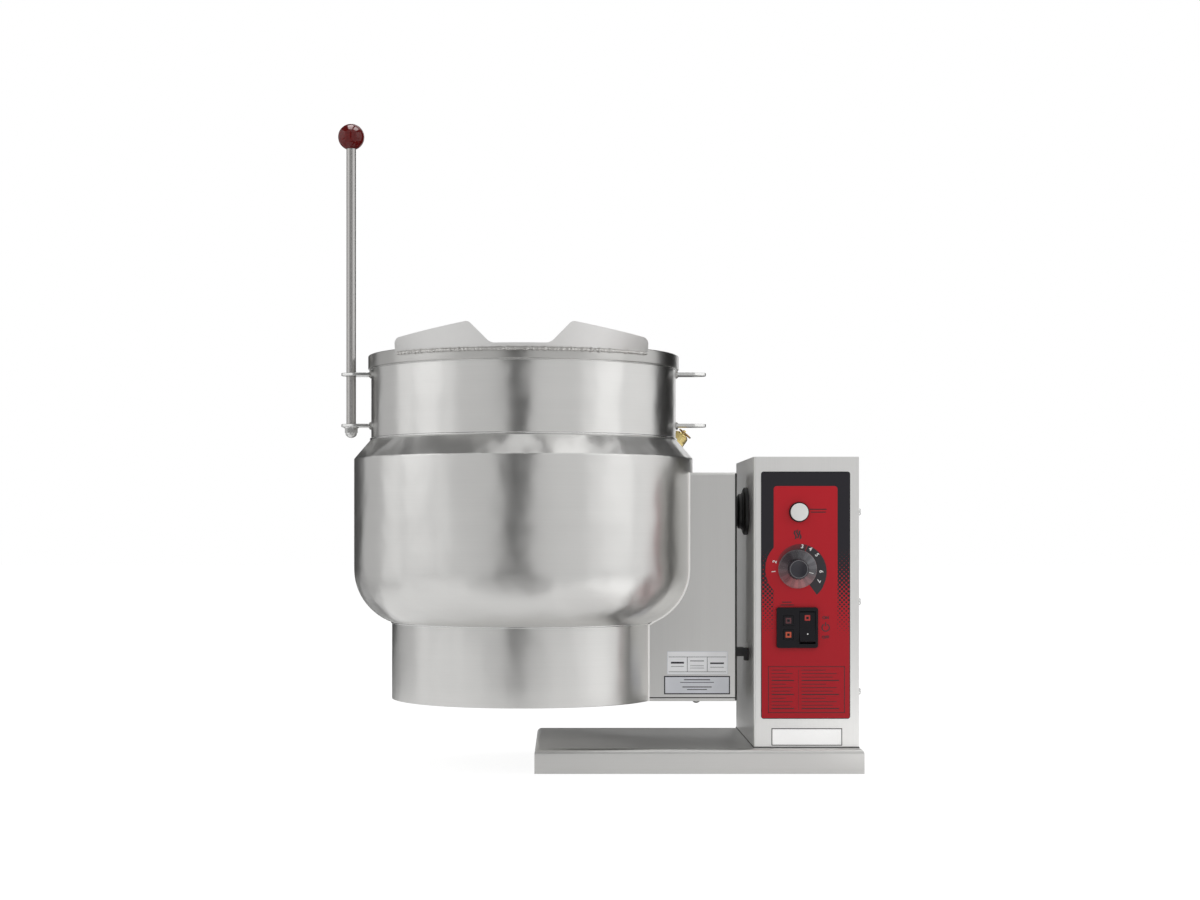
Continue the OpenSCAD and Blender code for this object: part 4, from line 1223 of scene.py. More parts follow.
    def make_rim(self) -> None:
        """The rim bar with its rounded edges."""
        r, edge = self.rim_round, self.rim_edge
        inner = self.neck_r - self.wall
        outline = [(inner, self.rim_low + edge), (inner + edge, self.rim_low)]
        outline += arc((self.rim_r - r, self.rim_low + r), r, -90, 0, 6)
        outline += arc((self.rim_r - r, self.rim_top - r), r, 0, 90, 6)
        outline += arc((inner + r, self.rim_top - r), r, 90, 180, 6)
        self.spin("rim_bar_round", outline, self.finishes.rim_steel, "rim_bar")

    def make_skirt(self) -> None:
        """The pedestal skirt with its rounded foot and the ledge for its cover."""
        meet = self.skirt_meet() - 0.3 * MM
        r, foot, edge = self.skirt_r, self.skirt_low, self.skirt_edge
        inner, ledge = r - self.skirt_wall, r - self.ledge_in
        outline = [(r, meet), *arc((r - edge, foot + edge), edge, 0, -90, 4), (inner, foot)]
        outline += [(inner, foot + self.ledge_low), (ledge, foot + self.ledge_low)]
        outline += [(ledge, foot + self.ledge_top), (inner, foot + self.ledge_top), (inner, meet - 1.5 * MM)]
        self.spin("pedestal_skirt_round", outline, self.finishes.round_steel, "pedestal_skirt")

    def make_seams(self) -> None:
        """The dressed weld seams round the neck's foot, the skirt's top and the rim bar's foot."""
        seams = {
            "seam_neck": (self.neck_r + 0.5 * MM, self.neck_z + 0.2 * MM, 1.5 * MM),
            "seam_skirt": (self.skirt_r + 0.2 * MM, self.skirt_meet(), 1.3 * MM),
            "seam_rim": (self.neck_r + 0.3 * MM, self.rim_low - 0.3 * MM, 1.0 * MM),
        }
        for name, (r, z, size) in seams.items():
            self.spin(name, arc((r, z), size, 0, 330, 11), self.finishes.bright_steel)

    def build(self) -> None:
        """Makes every turned shell."""
        self.make_bowl()
        self.make_rim()
        self.make_jacket()
        self.make_skirt()
        self.make_seams()


@dataclass
class Weld:
    """A rough weld bead laid along an arc about the kettle's axis.

    Its lumps are shares of its thickness, the coarse ones in steps along it and the fine ones all over.
    """

    name: str
    radius: float
    middle_z: float
    half_angle: float
    size: float
    steps: int
    sides: int = 10
    coarse_lump: float = 0.75
    coarse_cycles: float = 95
    fine_lump: float = 0.5
    fine_cycles: float = 900

    def build(self, centre: Flat, finishes: Finishes, facing: float = -90) -> bpy.types.Object:
        """Spins the bead's section along its arc, then roughens it ring by ring.

        Args:
            centre: the kettle's axis.
            finishes: the materials.
            facing: direction of the bead's middle, in degrees from +X.

        Returns:
            The bead.
        """
        deselect()
        place = (centre[0] + self.radius, centre[1], self.middle_z)
        bpy.ops.mesh.primitive_circle_add(
            vertices=self.sides, radius=self.size, fill_type="NOTHING", location=place, rotation=UPRIGHT
        )
        obj = settle(bpy.context.object)
        obj.name = self.name
        sweep = math.radians(2 * self.half_angle)
        with editing(obj):
            bpy.ops.mesh.spin(steps=self.steps, angle=-sweep, center=(*centre, 0), axis=(0, 0, 1))
            bpy.ops.mesh.select_all(action="SELECT")
            bpy.ops.mesh.remove_doubles(threshold=1e-7)
            bpy.ops.mesh.select_all(action="DESELECT")
            bpy.ops.mesh.select_non_manifold()
            bpy.ops.mesh.edge_face_add()
            face_outwards()
        axis = Vector((*centre, 0))
        turn = Matrix.Rotation(math.radians(facing - self.half_angle), 4, "Z")
        for vertex in obj.data.vertices:
            share = abs(math.atan2(vertex.co.y - axis.y, vertex.co.x - axis.x)) / sweep
            coarse = noise.noise(Vector((share * self.coarse_cycles, 0, self.radius * 10)))
            lump = coarse * self.coarse_lump + noise.noise(vertex.co * self.fine_cycles) * self.fine_lump
            along = (vertex.co - axis).xy.normalized() * self.radius
            spine = Vector((axis.x + along.x, axis.y + along.y, self.middle_z))
            vertex.co = spine + (vertex.co - spine) * (1 + lump)
            vertex.co = axis + turn @ (vertex.co - axis)
        smooth(obj, 60)
        return dress(obj, Body.KETTLE, finishes.weld)


@dataclass
class Lip:
    """The pouring lip and its weld."""

    finishes: Finishes
    shell: Shell
    edge: float = 0.9 * MM
    weld_half_angle: float = 49.5
    weld_size: float = 1.9 * MM

    def build(self) -> None:
        """Makes the flared lip with rounded edges, and the rough weld that holds it."""
        lip = from_node("pouring_lip", "pouring_lip_flared", self.edge, 3, 28)
        dress(lip, Body.KETTLE, self.finishes.satin_steel)
        low, _ = node_box("pouring_lip")
        radius, z = self.shell.rim_r + 1.0 * MM, low.z - 0.1 * MM
        weld = Weld("lip_weld", radius, z, self.weld_half_angle, self.weld_size, 420)
        weld.build(self.shell.centre, self.finishes)


@dataclass
class Handle:
    """Lugs, rod, ball knob and acorn nut."""

    finishes: Finishes
    shell: Shell
    weld_out: float = 1.0 * MM
    weld_half_angle: float = 4.6
    rod_chamfer: float = 0.8 * MM

    def build(self) -> None:
        """Makes the handle and the four lugs with their fillet welds."""
        bright = self.finishes.bright_steel
        for side, facing in (("left", 180), ("right", 0)):
            for level in ("upper", "lower"):
                node = f"lug_{side}_{level}"
                Copy(node, node + "_plate", 0.7, 2, bright, "brushed_stainless").build(Body.KETTLE)
                low, high = node_box(node)
                self.weld(f"weld_{node}", low.z - 0.4 * MM, 1.8 * MM, facing)
                self.weld(f"weld_{node}_top", high.z + 0.3 * MM, 1.6 * MM, facing)
        self.make_rod()
        self.make_ball()
        Copy("acorn_nut", "acorn_nut_round", 0.5, 2, bright, "bright_steel").build(Body.KETTLE)

    def weld(self, name: str, z: float, size: float, facing: float) -> None:
        """One short fillet weld between a lug and the neck.

        Args:
            name: the piece's name.
            z: its height.
            size: half its thickness.
            facing: the lug's direction, in degrees from +X.
        """
        bead_piece = Weld(name, self.shell.neck_r + self.weld_out, z, self.weld_half_angle, size, 24)
        bead_piece.build(self.shell.centre, self.finishes, facing)

    def make_rod(self) -> None:
        """The rod, with a small chamfer at its foot."""
        low, high = node_box("handle_rod")
        r, chamfer = (high.x - low.x) / 2, self.rod_chamfer
        outline = [(0, low.z), (r - chamfer, low.z), (r, low.z + chamfer), (r, high.z), (0, high.z)]
        rod = lathe("handle_rod_round", outline, node_middle("handle_rod").xy, 48)
        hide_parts("handle_rod")
        dress(rod, Body.KETTLE, self.finishes.rod_steel)

    def make_ball(self) -> None:
        """The ball knob with its flat seat round the rod."""
        low, high = node_box("ball_knob")
        r = (high.x - low.x) / 2
        middle = high.z - r
        flat = math.degrees(math.acos((middle - low.z) / r))
        outline = [(0, low.z), *arc((0, middle), r, flat - 90, 90, 40)]
        ball = lathe("ball_knob_round", outline, node_middle("ball_knob").xy, 64, closed=False)
        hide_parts("ball_knob")
        dress(ball, Body.KETTLE, self.finishes.phenolic)


@dataclass
class Valve:
    """The brass safety valve and its pull ring."""

    finishes: Finishes

    def build(self) -> None:
        """Makes the valve's three pieces."""
        brass = self.finishes.brass
        Copy("valve_body", "valve_body_round", 0.5, 2, brass, "valve_brass").build(Body.KETTLE)
        Copy("valve_inlet", "valve_inlet_round", 0, 2, brass, "valve_brass").build(Body.KETTLE)
        Copy("pull_ring", "pull_ring_round", 0, 2, self.finishes.bronze, "valve_brass").build(Body.RING)


class Plate(NamedTuple):
    """A small bare plate on the element box, in millimetres from the kettle's axis and the counter."""

    name: str
    left: float
    right: float
    foot: float
    top: float
    border: float
    front: bpy.types.Material
    edge: bpy.types.Material


@dataclass
class ElementBox:
    """The element box, its cover, its sealant, its painted shadow lines and the two bare plates on it.

    The plates' rules are (left, right, foot, top), in millimetres from the kettle's axis and the
    counter.
    """

    finishes: Finishes
    shell: Shell
    bead: float = 1.5 * MM
    bead_out: float = 0.6 * MM
    gap: float = 1.2 * MM
    edge_seal: float = 1.2 * MM
    foot_seal: float = 0.7 * MM
    foot_seal_z: float = 4.6 * MM
    stud_r: float = 5 * MM
    stud_drop: float = 3.4 * MM
    rules: tuple[tuple[float, float, float, float], ...] = (
        (190, 265, 145.4, 146.0), (190, 265, 126, 126.6),
        (214, 214.6, 126, 145.4), (240, 240.6, 126, 145.4),
        (193, 210, 137, 139.4), (193, 210, 133, 133.5),
        (218, 236, 131, 131.5), (218, 236, 134, 134.5), (218, 236, 140, 141),
        (244, 262, 136.5, 138.5), (244, 262, 132, 132.5),
        (210, 244, 115.4, 116.6), (205, 249, 112.2, 113), (208, 246, 106, 107.2), (214, 240, 102.8, 103.8),
    )

    def build(self) -> None:
        """Makes the box's pieces."""
        steel, slot = self.finishes.box_steel, "brushed_stainless"
        Copy("element_box", "element_box_sheet", 0.6, 2, steel, slot).build(Body.KETTLE)
        Copy("box_cover", "box_cover_sheet", 0.3, 1, steel, slot).build(Body.KETTLE)
        self.make_sealant()
        self.make_edge_seal()
        self.make_stud()
        self.make_plates()

    def junction(self, steps: int = 60) -> list[Flat]:
        """Where the box's front meets the kettle.

        Args:
            steps: parts of the line.

        Returns:
            Points of (x, z) from the box's top down to its foot.
        """
        low, high = node_box("element_box")
        depth = (high.y - low.y) / 2
        curve, curve_z, points = self.shell.jacket_curve, self.shell.curve_z(), []
        for i in range(steps + 1):
            z = high.z + (low.z - high.z) * i / steps
            radius = self.shell.jacket_r
            if z < curve_z:
                radius += math.sqrt(curve**2 - min(curve_z - z, curve) ** 2) - curve
            radius = max(radius, self.shell.skirt_r)
            points.append((self.shell.centre[0] + math.sqrt(radius**2 - depth**2), z))
        return points

    def make_sealant(self) -> None:
        """Beads of sealant, which glows as painted light, down both sides where the box meets the kettle,
        each with a dark bead of painted shade in the crease beside it.
        """
        low, high = node_box("element_box")
        for side, y in (("front", low.y), ("rear", high.y)):
            for name, shift, size, finish in (
                ("sealant", self.bead_out, self.bead, self.finishes.sealant),
                ("gap", -self.bead - 0.4 * MM, self.gap, self.finishes.dark_sealant),
            ):
                route = [(x + shift, y, z) for x, z in self.junction()]
                dress(bead(f"{name}_{side}", route, size), Body.KETTLE, finish)

    def make_edge_seal(self) -> None:
        """A dark strip of painted shadow up the box's edge beside the console, and a thin line of painted
        shadow along its foot.
        """
        low, high = node_box("element_box")
        r, x, y = self.edge_seal, high.x - 0.9 * MM, low.y
        upright = bead("box_edge_painted_shadow", [(x, y, low.z + r), (x, y, high.z - r)], r)
        foot_z = low.z + self.foot_seal_z
        route = [(self.junction()[-1][0], y, foot_z), (x, y, foot_z)]
        for shadow_strip in (upright, bead("box_foot_painted_shadow", route, self.foot_seal)):
            dress(shadow_strip, Body.KETTLE, self.finishes.rubber)

    def make_stud(self) -> None:
        """The domed stud head under the box."""
        low, high = node_box("element_box")
        r, drop, sunk = self.stud_r, self.stud_drop, 3 * MM
        turns = [i * math.pi / 16 for i in range(1, 8)]
        outline = [(0, low.z + sunk), (r, low.z + sunk), (r, low.z)]
        outline += [(r * math.cos(a), low.z - drop * math.sin(a)) for a in turns]
        centre = (low.x + (high.x - low.x) * 0.55, low.y + 14 * MM)
        stud = lathe("box_stud", [*outline, (0, low.z - drop)], centre, 32)
        dress(stud, Body.KETTLE, self.finishes.bright_steel)

    def make_plates(self) -> None:
        """The two bare plates low on the box's front, and the rules on them."""
        made = self.finishes
        for plate in (
            Plate("plate_upper", 188, 267, 123, 153, 0.7, made.plate_white, made.plate_grey),
            Plate("plate_lower", 184, 270, 97, 121, 1.5, made.plate_grey, made.print_black),
        ):
            rim = self.panel(plate.name + "_edge", plate[1:5], 0, 0.35, 0)
            dress(round_edges(rim, 0.15 * MM, 1), Body.KETTLE, plate.edge)
            front = self.panel(plate.name, plate[1:5], plate.border, 0.5, 0.2)
            dress(round_edges(front, 0.1 * MM, 1), Body.KETTLE, plate.front)
        parts = [self.panel("rule", rule, 0, 0.56, 0.45) for rule in self.rules]
        dress(join("plate_rules", parts), Body.KETTLE, made.print_black)

    def panel(
        self, name: str, sides: Sequence[float], border: float, front: float, back: float
    ) -> bpy.types.Object:
        """A flat box on the element box's front. All lengths are in millimetres.

        Args:
            name: the object's name.
            sides: its left, right, foot and top.
            border: how far it stands inside those.
            front: how far its front stands out.
            back: how far its back stands out.

        Returns:
            The box.
        """
        left, right, foot, top = sides
        low, _ = node_box("element_box")
        x, y = self.shell.centre[0], low.y
        return box(
            name,
            (x + (left + border) * MM, y - front * MM, (foot + border) * MM),
            (x + (right - border) * MM, y - back * MM, (top - border) * MM),
        )


@dataclass
class Console:
    """The console's housing, side cover, screws, base and what shows between them."""

    finishes: Finishes
    plate_left: float = 22.8 * MM
    plate_right: float = 113.4 * MM
    plate_foot: float = 34.7 * MM
    plate_top: float = 56.8 * MM
    plate_border: float = 1.1 * MM
    foot_bead: float = 0.9 * MM

    def build(self) -> None:
        """Makes the console's outer pieces and the base."""
        made, stainless = self.finishes, "brushed_stainless"
        for copy in (
            Copy("console_housing", "console_housing_sheet", 0.35, 2, made.console_steel, stainless),
            Copy("console_cover", "console_cover_sheet", 0.4, 2, made.console_steel, stainless),
            Copy("base_pan", "base_pan_sheet", 0, 2, made.base_steel, stainless),
            Copy("trunnion_seal", "trunnion_seal_ribbed", 0.6, 2, made.rubber, "seal_rubber"),
            Copy("tilt_stop", "tilt_stop_bar", 0.8, 2, made.black_paint, "black_metal"),
            Copy("cover_screws", "cover_screw_heads", 0, 2, made.bright_steel, "bright_steel"),
        ):
            copy.build(Body.STAND)
        self.make_nameplate()
        self.make_foot_sealant()

    def make_nameplate(self) -> None:
        """The bare plate under the film, with its dark edge."""
        low, _ = node_box("console_housing")
        x0, x1, inset = low.x + self.plate_left, low.x + self.plate_right, self.plate_border
        z0, z1 = self.plate_foot, self.plate_top
        rim = box("nameplate_edge", (x0, low.y - 0.5 * MM, z0), (x1, low.y, z1))
        dress(round_edges(rim, 0.2 * MM, 2), Body.STAND, self.finishes.print_black)
        face = box(
            "nameplate",
            (x0 + inset, low.y - 0.7 * MM, z0 + inset),
            (x1 - inset, low.y - 0.3 * MM, z1 - inset),
        )
        # The white face glows a little as painted light
        dress(round_edges(face, 0.12 * MM, 1), Body.STAND, self.finishes.label_white)

    def make_foot_sealant(self) -> None:
        """A thin bead of sealant where the console stands on the base."""
        low, high = node_box("sealing_strip")
        z = low.z + self.foot_bead * 0.4
        route = [(low.x, low.y, z), (high.x, low.y, z), (high.x, high.y, z), (low.x, high.y, z)]
        line = bead("foot_sealant", route, self.foot_bead, closed=True)
        dress(line, Body.STAND, self.finishes.dark_sealant)


@dataclass
class Controls:
    """The printed film's marks, the push button, the dial and the switch unit.

    The dial's numbers are (direction from the right, in degrees, and distance, in millimetres). The
    rocker's front is a hollow V: it rests turned by one angle, and each half slopes by another.
    """

    finishes: Finishes
    ink: float = 0.12 * MM
    cap_gap: float = 3.2 * MM
    cap_edge: float = 0.9 * MM
    grip_r: float = 13.2 * MM
    ribs: int = 18
    pointer_turn: float = 16.0
    scale_start: float = 162.0
    scale_solid: float = 66.0
    scale_end: float = -53.0
    scale_ticks: int = 34
    scale_teeth: int = 44
    numbers: tuple[tuple[float, float], ...] = (
        (186, 30.5), (162, 30.5), (78, 29.5), (57, 30.5), (36, 30.8), (-6, 30.5), (-29, 31)
    )
    lamp_inset: float = 2.6 * MM
    pip_inset: float = 4.6 * MM
    rocker_rest: float = 7.0
    rocker_slope: float = 8.0
    rocker_hollow: float = -7.9 * MM
    dial: Flat = field(init=False)

    def __post_init__(self) -> None:
        """Reads the controls' places from the frame."""
        low, high = node_box("dial_knob")
        self.dial = ((low.x + high.x) / 2, (low.z + high.z) / 2)
        self.dial_r = (high.x - low.x) / 2
        self.knob_y = (low.y, high.y)
        self.film_low, _ = node_box("control_overlay")
        self.face = self.film_low.y

    def build(self) -> None:
        """Makes every control."""
        paint_node("control_overlay", self.finishes.film)
        self.make_button()
        self.make_dial()
        self.make_pointer()
        self.make_collar()
        self.make_scale()
        self.make_ticks()
        self.make_numbers()
        self.make_switch()
        self.make_rocker_marks()
        self.make_print()
        self.make_rules()

    def make_button(self) -> None:
        """The white push button in its bezel."""
        black = self.finishes.black_plastic
        Copy("button_bezel", "button_bezel_ring", 0.4, 2, black, "grey_plastic").build(Body.STAND)
        low, high = node_box("button_bezel")
        reach = (high.x - low.x) / 2
        cap_low, _ = node_box("push_button")
        centre = ((low.x + high.x) / 2, low.y, (low.z + high.z) / 2)
        length = low.y - cap_low.y
        # The head stands off the bezel by its travel, so that it stops just short of it
        shank, head, back, edge = reach * 0.62, reach * 0.82, self.cap_gap, self.cap_edge
        outline = [(0, -0.5 * MM), (shank, -0.5 * MM), (shank, back), (head, back)]
        outline += arc((head - edge, length - 0.2 * MM - edge), edge, 0, 80, 6)
        outline += [(reach * 0.4, length - 0.1 * MM), (0, length)]
        button = turned("push_button_cap", outline, centre, 64)
        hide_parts("push_button")
        dress(button, Body.BUTTON, self.finishes.white_plastic)

    def make_dial(self) -> None:
        """The dial's clear skirt and its ribbed grip, with a grey ring on it as a painted highlight round the
        grip's edge.
        """
        front, back = self.knob_y
        centre = (self.dial[0], back, self.dial[1])
        r, grip, height = self.dial_r, self.grip_r, back - front
        skirt = [(grip - 1 * MM, 0), (r - 0.6 * MM, 0), (r, 0.9 * MM)]
        skirt += arc((r - 2.2 * MM, 1.2 * MM), 1.6 * MM, 0, 80, 5)
        skirt += [(grip + 1.5 * MM, 4.2 * MM), (grip - 1 * MM, 5 * MM)]
        obj = turned("dial_skirt", skirt, centre, 96)
        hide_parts("dial_knob")
        dress(obj, Body.DIAL, self.finishes.skirt_plastic)
        sunk = height - 0.9 * MM
        outline = [(0, 0.5 * MM), (grip, 0.5 * MM), (grip - 0.4 * MM, height - 2.2 * MM)]
        outline += arc((grip - 2 * MM, height - 1.8 * MM), 1.5 * MM, 0, 90, 6)
        outline += [(grip - 4 * MM, height - 0.3 * MM), (grip - 5 * MM, sunk), (0, sunk)]
        hub = turned("dial_grip", outline, centre, 96)
        ribs = [self.rib(centre, height, 360 * i / self.ribs) for i in range(self.ribs)]
        dress(join("dial_grip", [hub, *ribs]), Body.DIAL, self.finishes.hub_plastic)
        # Painted highlight: a pale ring round the grip's edge where it would catch the light
        ring = arc((grip - 2.1 * MM, height - 0.35 * MM), 0.35 * MM, 0, 315, 7)
        line = turned("dial_ring_highlight", ring, centre, 96)
        dress(line, Body.DIAL, self.finishes.grey_plastic)

    def make_pointer(self) -> None:
        """The white line on the dial's skirt."""
        centre = (self.dial[0], self.knob_y[1], self.dial[1])
        x, y, z = centre
        line = box(
            "dial_pointer",
            (x + self.grip_r + 1.8 * MM, y - 4.5 * MM, z - 0.45 * MM),
            (x + self.dial_r - 4 * MM, y - 2.5 * MM, z + 0.45 * MM),
        )
        dress(self.turn_about(line, centre, self.pointer_turn), Body.DIAL, self.finishes.print_white)

    def make_collar(self) -> None:
        """The collar on the film that the dial's spindle comes through."""
        inner, outer, thick = 4 * MM, 7.5 * MM, 1.2 * MM
        outline = [(inner, 0), (outer, 0), (outer, thick), (inner, thick)]
        collar = turned("dial_collar", outline, (self.dial[0], self.face, self.dial[1]), 48)
        dress(collar, Body.STAND, self.finishes.black_plastic)

    @staticmethod
    def turn_about(obj: bpy.types.Object, centre: Sequence[float], degrees: float) -> bpy.types.Object:
        """Turns a piece about the line along Y through centre, clockwise as seen from the front.

        Args:
            obj: the piece.
            centre: a point on the line.
            degrees: how far it turns.

        Returns:
            The same piece.
        """
        there = Matrix.Translation(centre)
        spin = Matrix.Rotation(math.radians(degrees), 4, "Y")
        obj.matrix_world = there @ spin @ there.inverted() @ obj.matrix_world
        return settle(obj)

    def rib(self, centre: Sequence[float], height: float, degrees: float) -> bpy.types.Object:
        """One fine rib along the grip.

        Args:
            centre: the middle of the dial's back.
            height: how far the grip stands out.
            degrees: the rib's place round the grip.

        Returns:
            The rib.
        """
        x, y, z = centre
        low = (x + self.grip_r - 1 * MM, y - height + 4 * MM, z - 0.7 * MM)
        high = (x + self.grip_r + 0.45 * MM, y - 5 * MM, z + 0.7 * MM)
        return self.turn_about(round_edges(box("rib", low, high), 0.3 * MM, 2), centre, degrees)

    def flat_shape(self, name: str, outline: Sequence[Flat]) -> bpy.types.Object:
        """A thin printed shape on the film.

        Args:
            name: the object's name.
            outline: its edge, as points of (x, z).

        Returns:
            The shape.
        """
        y = self.face - self.ink
        obj = draw(name, [(x, y, z) for x, z in outline], closed=True)
        with editing(obj):
            bpy.ops.mesh.edge_face_add()
            bpy.ops.mesh.extrude_region_move(TRANSFORM_OT_translate={"value": (0, self.ink, 0)})
            face_outwards()
        return obj

    def scale_radius(self, degrees: float) -> float:
        """Outer radius of the scale at an angle, which opens clockwise from its start to its end."""
        share = (self.scale_start - degrees) / (self.scale_start - self.scale_end)
        return (27.6 + 13.6 * share**1.05) * MM

    def on_dial(self, radius: float, degrees: float) -> Flat:
        """The (x, z) at a distance from the dial's middle, in a direction from the right."""
        turn = math.radians(degrees)
        return self.dial[0] + radius * math.cos(turn), self.dial[1] + radius * math.sin(turn)

    def make_scale(self) -> None:
        """The black crescent of the dial's scale, with its toothed edge."""
        inner, steps = self.dial_r + 0.3 * MM, 2 * self.scale_teeth
        rim, back = [], []
        for i in range(steps + 1):
            angle = self.scale_solid + (self.scale_end - self.scale_solid) * i / steps
            notch = 0.9 * MM if i % 2 and i < 0.85 * steps else 0
            rim.append(self.on_dial(self.scale_radius(angle) - notch, angle))
            back.append(self.on_dial(inner, angle))
        scale = self.flat_shape("dial_scale", rim + back[::-1])
        dress(scale, Body.STAND, self.finishes.print_black)

    def make_ticks(self) -> None:
        """The scale's ticks, which grow longer and wider over the top of the dial."""
        x, z = self.dial
        inner, count, ticks = self.dial_r + 0.3 * MM, self.scale_ticks, []
        for i in range(count):
            angle = self.scale_start + (self.scale_solid - self.scale_start) * i / count
            half = (0.2 + 0.42 * i / count) * MM
            low = (x + inner - 0.5 * MM, self.face - self.ink, z - half)
            tick = box("tick", low, (x + self.scale_radius(angle), self.face, z + half))
            ticks.append(self.turn_about(tick, (x, self.face, z), -angle))
        dress(join("dial_ticks", ticks), Body.STAND, self.finishes.print_black)

    def make_numbers(self) -> None:
        """Plain numbers round the scale."""
        for number, (angle, radius) in enumerate(self.numbers, 1):
            place = self.on_dial(radius * MM, angle)
            name = f"dial_number_{number}"
            self.letter(name, str(number), place, 7 * MM, self.finishes.print_white, angle - 90)

    def letter(
        self, name: str, text: str, place: Flat, size: float, material: bpy.types.Material,
        degrees: float = 0.0,
    ) -> None:
        """A number or a switch mark printed on the film, as a thin mesh.

        Args:
            name: the piece's name.
            text: the mark.
            place: its middle, as (x, z).
            size: its height.
            material: its ink.
            degrees: how far it is turned, to the left.
        """
        deselect()
        bpy.ops.object.text_add()
        obj = bpy.context.object
        obj.name = name
        obj.data.body = text
        obj.data.size = size
        obj.data.extrude = 0.04 * MM
        obj.data.offset = 0.025 * size
        obj.data.align_x, obj.data.align_y = "CENTER", "CENTER"
        take(obj)
        bpy.ops.object.convert(target="MESH")
        upright = Matrix.Rotation(math.pi / 2, 4, "X") @ Matrix.Rotation(math.radians(degrees), 4, "Z")
        obj.matrix_world = Matrix.Translation((place[0], self.face - 0.18 * MM, place[1])) @ upright
        dress(settle(obj), Body.STAND, material)

    def make_switch(self) -> None:
        """The switch unit: bezel, two lamps and the rocker."""
        made, slot = self.finishes, "black_plastic"
        Copy("switch_bezel", "switch_bezel_round", 0.7, 2, made.black_plastic, slot).build(Body.STAND)
        for node, finish, lamp_slot in (
            ("lamp_upper", made.lamp_off, "lamp_dark"),
            ("lamp_lower", made.lamp_lit, "lamp_lit"),
        ):
            Copy(node, node + "_lens", 0.5, 2, made.black_plastic, slot).build(Body.STAND)
            window = self.in_lamp(node, "_window", self.lamp_inset, 0.25 * MM, 1 * MM)
            dress(round_edges(window, 0.3 * MM, 2), Body.STAND, finish)
            pip = self.in_lamp(node, "_pip", self.pip_inset, 0.35 * MM, 0)
            dress(round_edges(pip, 0.2 * MM, 1), Body.STAND, made.black_plastic)
        Copy("rocker", "rocker_key_round", 0.8, 3, made.black_plastic, slot).build(Body.ROCKER)

    @staticmethod
    def in_lamp(node: str, suffix: str, inset: float, out: float, sunk: float) -> bpy.types.Object:
        """A square in the middle of a lamp.

        Args:
            node: the lamp.
            suffix: what its name adds to the lamp's.
            inset: how far it stands inside the lamp's sides.
            out: how far it stands in front of the lamp.
            sunk: how far it reaches into it.

        Returns:
            The square.
        """
        low, high = node_box(node)
        return box(
            node + suffix,
            (low.x + inset, low.y - out, low.z + inset),
            (high.x - inset, low.y + sunk, high.z - inset),
        )

    def make_rocker_marks(self) -> None:
        """The lit window with its pip at the rocker's top and the dot at its foot."""
        middle = node_middle("rocker")
        x, y, z = middle.x, self.face + 5 * MM, middle.z
        pivot = Vector((x, y, z))
        window = box(
            "rocker_window",
            (x - 3.6 * MM, y - 0.3 * MM, z + 7.4 * MM),
            (x + 3.6 * MM, y + 0.6 * MM, z + 14.6 * MM),
        )
        outline = [(0, 0), (0.9 * MM, 0), (0.9 * MM, 0.5 * MM), (0, 0.6 * MM)]
        dot = turned("rocker_dot", outline, (x, y + 0.2 * MM, z - 10 * MM), 24)
        pip = box(
            "rocker_pip", (x - 1.5 * MM, y - 0.5 * MM, z + 9.5 * MM), (x + 1.5 * MM, y, z + 12.5 * MM)
        )
        made, up = self.finishes, self.rocker_slope
        for obj, material, slope in (
            (round_edges(window, 0.4 * MM, 2), made.lamp_red, up),
            (pip, made.black_plastic, up),
            (dot, made.print_white, -up),
        ):
            lean = Matrix.Rotation(math.radians(-self.rocker_rest), 4, "X")
            sloped = Matrix.Rotation(math.radians(slope), 4, "X") @ Matrix.Translation(-pivot)
            hollow = Matrix.Translation((0, self.rocker_hollow, 0))
            obj.matrix_world = Matrix.Translation(pivot) @ lean @ hollow @ sloped @ obj.matrix_world
            dress(settle(obj), Body.ROCKER, material)

    def wave_shape(self, x: float, z: float, height: float) -> bpy.types.Object:
        """A printed upright wavy stroke.

        Args:
            x: its middle along the film.
            z: its middle's height.
            height: its length.

        Returns:
            The stroke.
        """
        steps, half, swing = 16, 1.0 * MM, 1.0 * MM
        shares = [i / steps for i in range(steps + 1)]
        middle = [(x + swing * math.sin(TAU * a), z + height * (a - 0.5)) for a in shares]
        outline = [(x - half, z) for x, z in middle] + [(x + half, z) for x, z in reversed(middle)]
        return self.flat_shape("wave", outline)

    def make_print(self) -> None:
        """The power mark between its ON and OFF, and the small heat mark."""
        black = self.finishes.print_black
        x, z = self.film_low.x + 82.8 * MM, 186 * MM
        ring_r, width, start, end = 5.3 * MM, 1.3 * MM, 118, 422
        outline = arc((x, z), ring_r, start, end, 32) + arc((x, z), ring_r - width, end, start, 32)
        bar = box(
            "power_bar",
            (x - width / 2, self.face - self.ink, z + 1.5 * MM),
            (x + width / 2, self.face, z + 6.8 * MM),
        )
        mark = join("power_mark", [self.flat_shape("power_ring", outline), bar])
        dress(mark, Body.STAND, black)
        self.letter("mark_on", "ON", (x, z + 12.5 * MM), 5.2 * MM, black)
        self.letter("mark_off", "OFF", (x, z - 12.5 * MM), 5.2 * MM, black)
        x, z, pitch, drop = self.film_low.x + 46.9 * MM, 306 * MM, 3.1 * MM, 1.2 * MM
        waves = [self.wave_shape(x + i * pitch, z - i % 2 * drop, 11 * MM) for i in (-1, 0, 1)]
        dress(join("heat_mark", waves), Body.STAND, black)

    def rule(self, left: float, right: float, foot: float, top: float) -> bpy.types.Object:
        """One printed bar on the film.

        Args:
            left: its left end, in millimetres from the film's left edge, as all four are.
            right: its right end.
            foot: its foot, from the film's foot.
            top: its top.

        Returns:
            The bar.
        """
        x, z, thin = self.film_low.x, self.film_low.z, 0.1 * MM
        low = (x + left * MM, self.face - thin, z + foot * MM)
        return box("rule", low, (x + right * MM, self.face, z + top * MM))

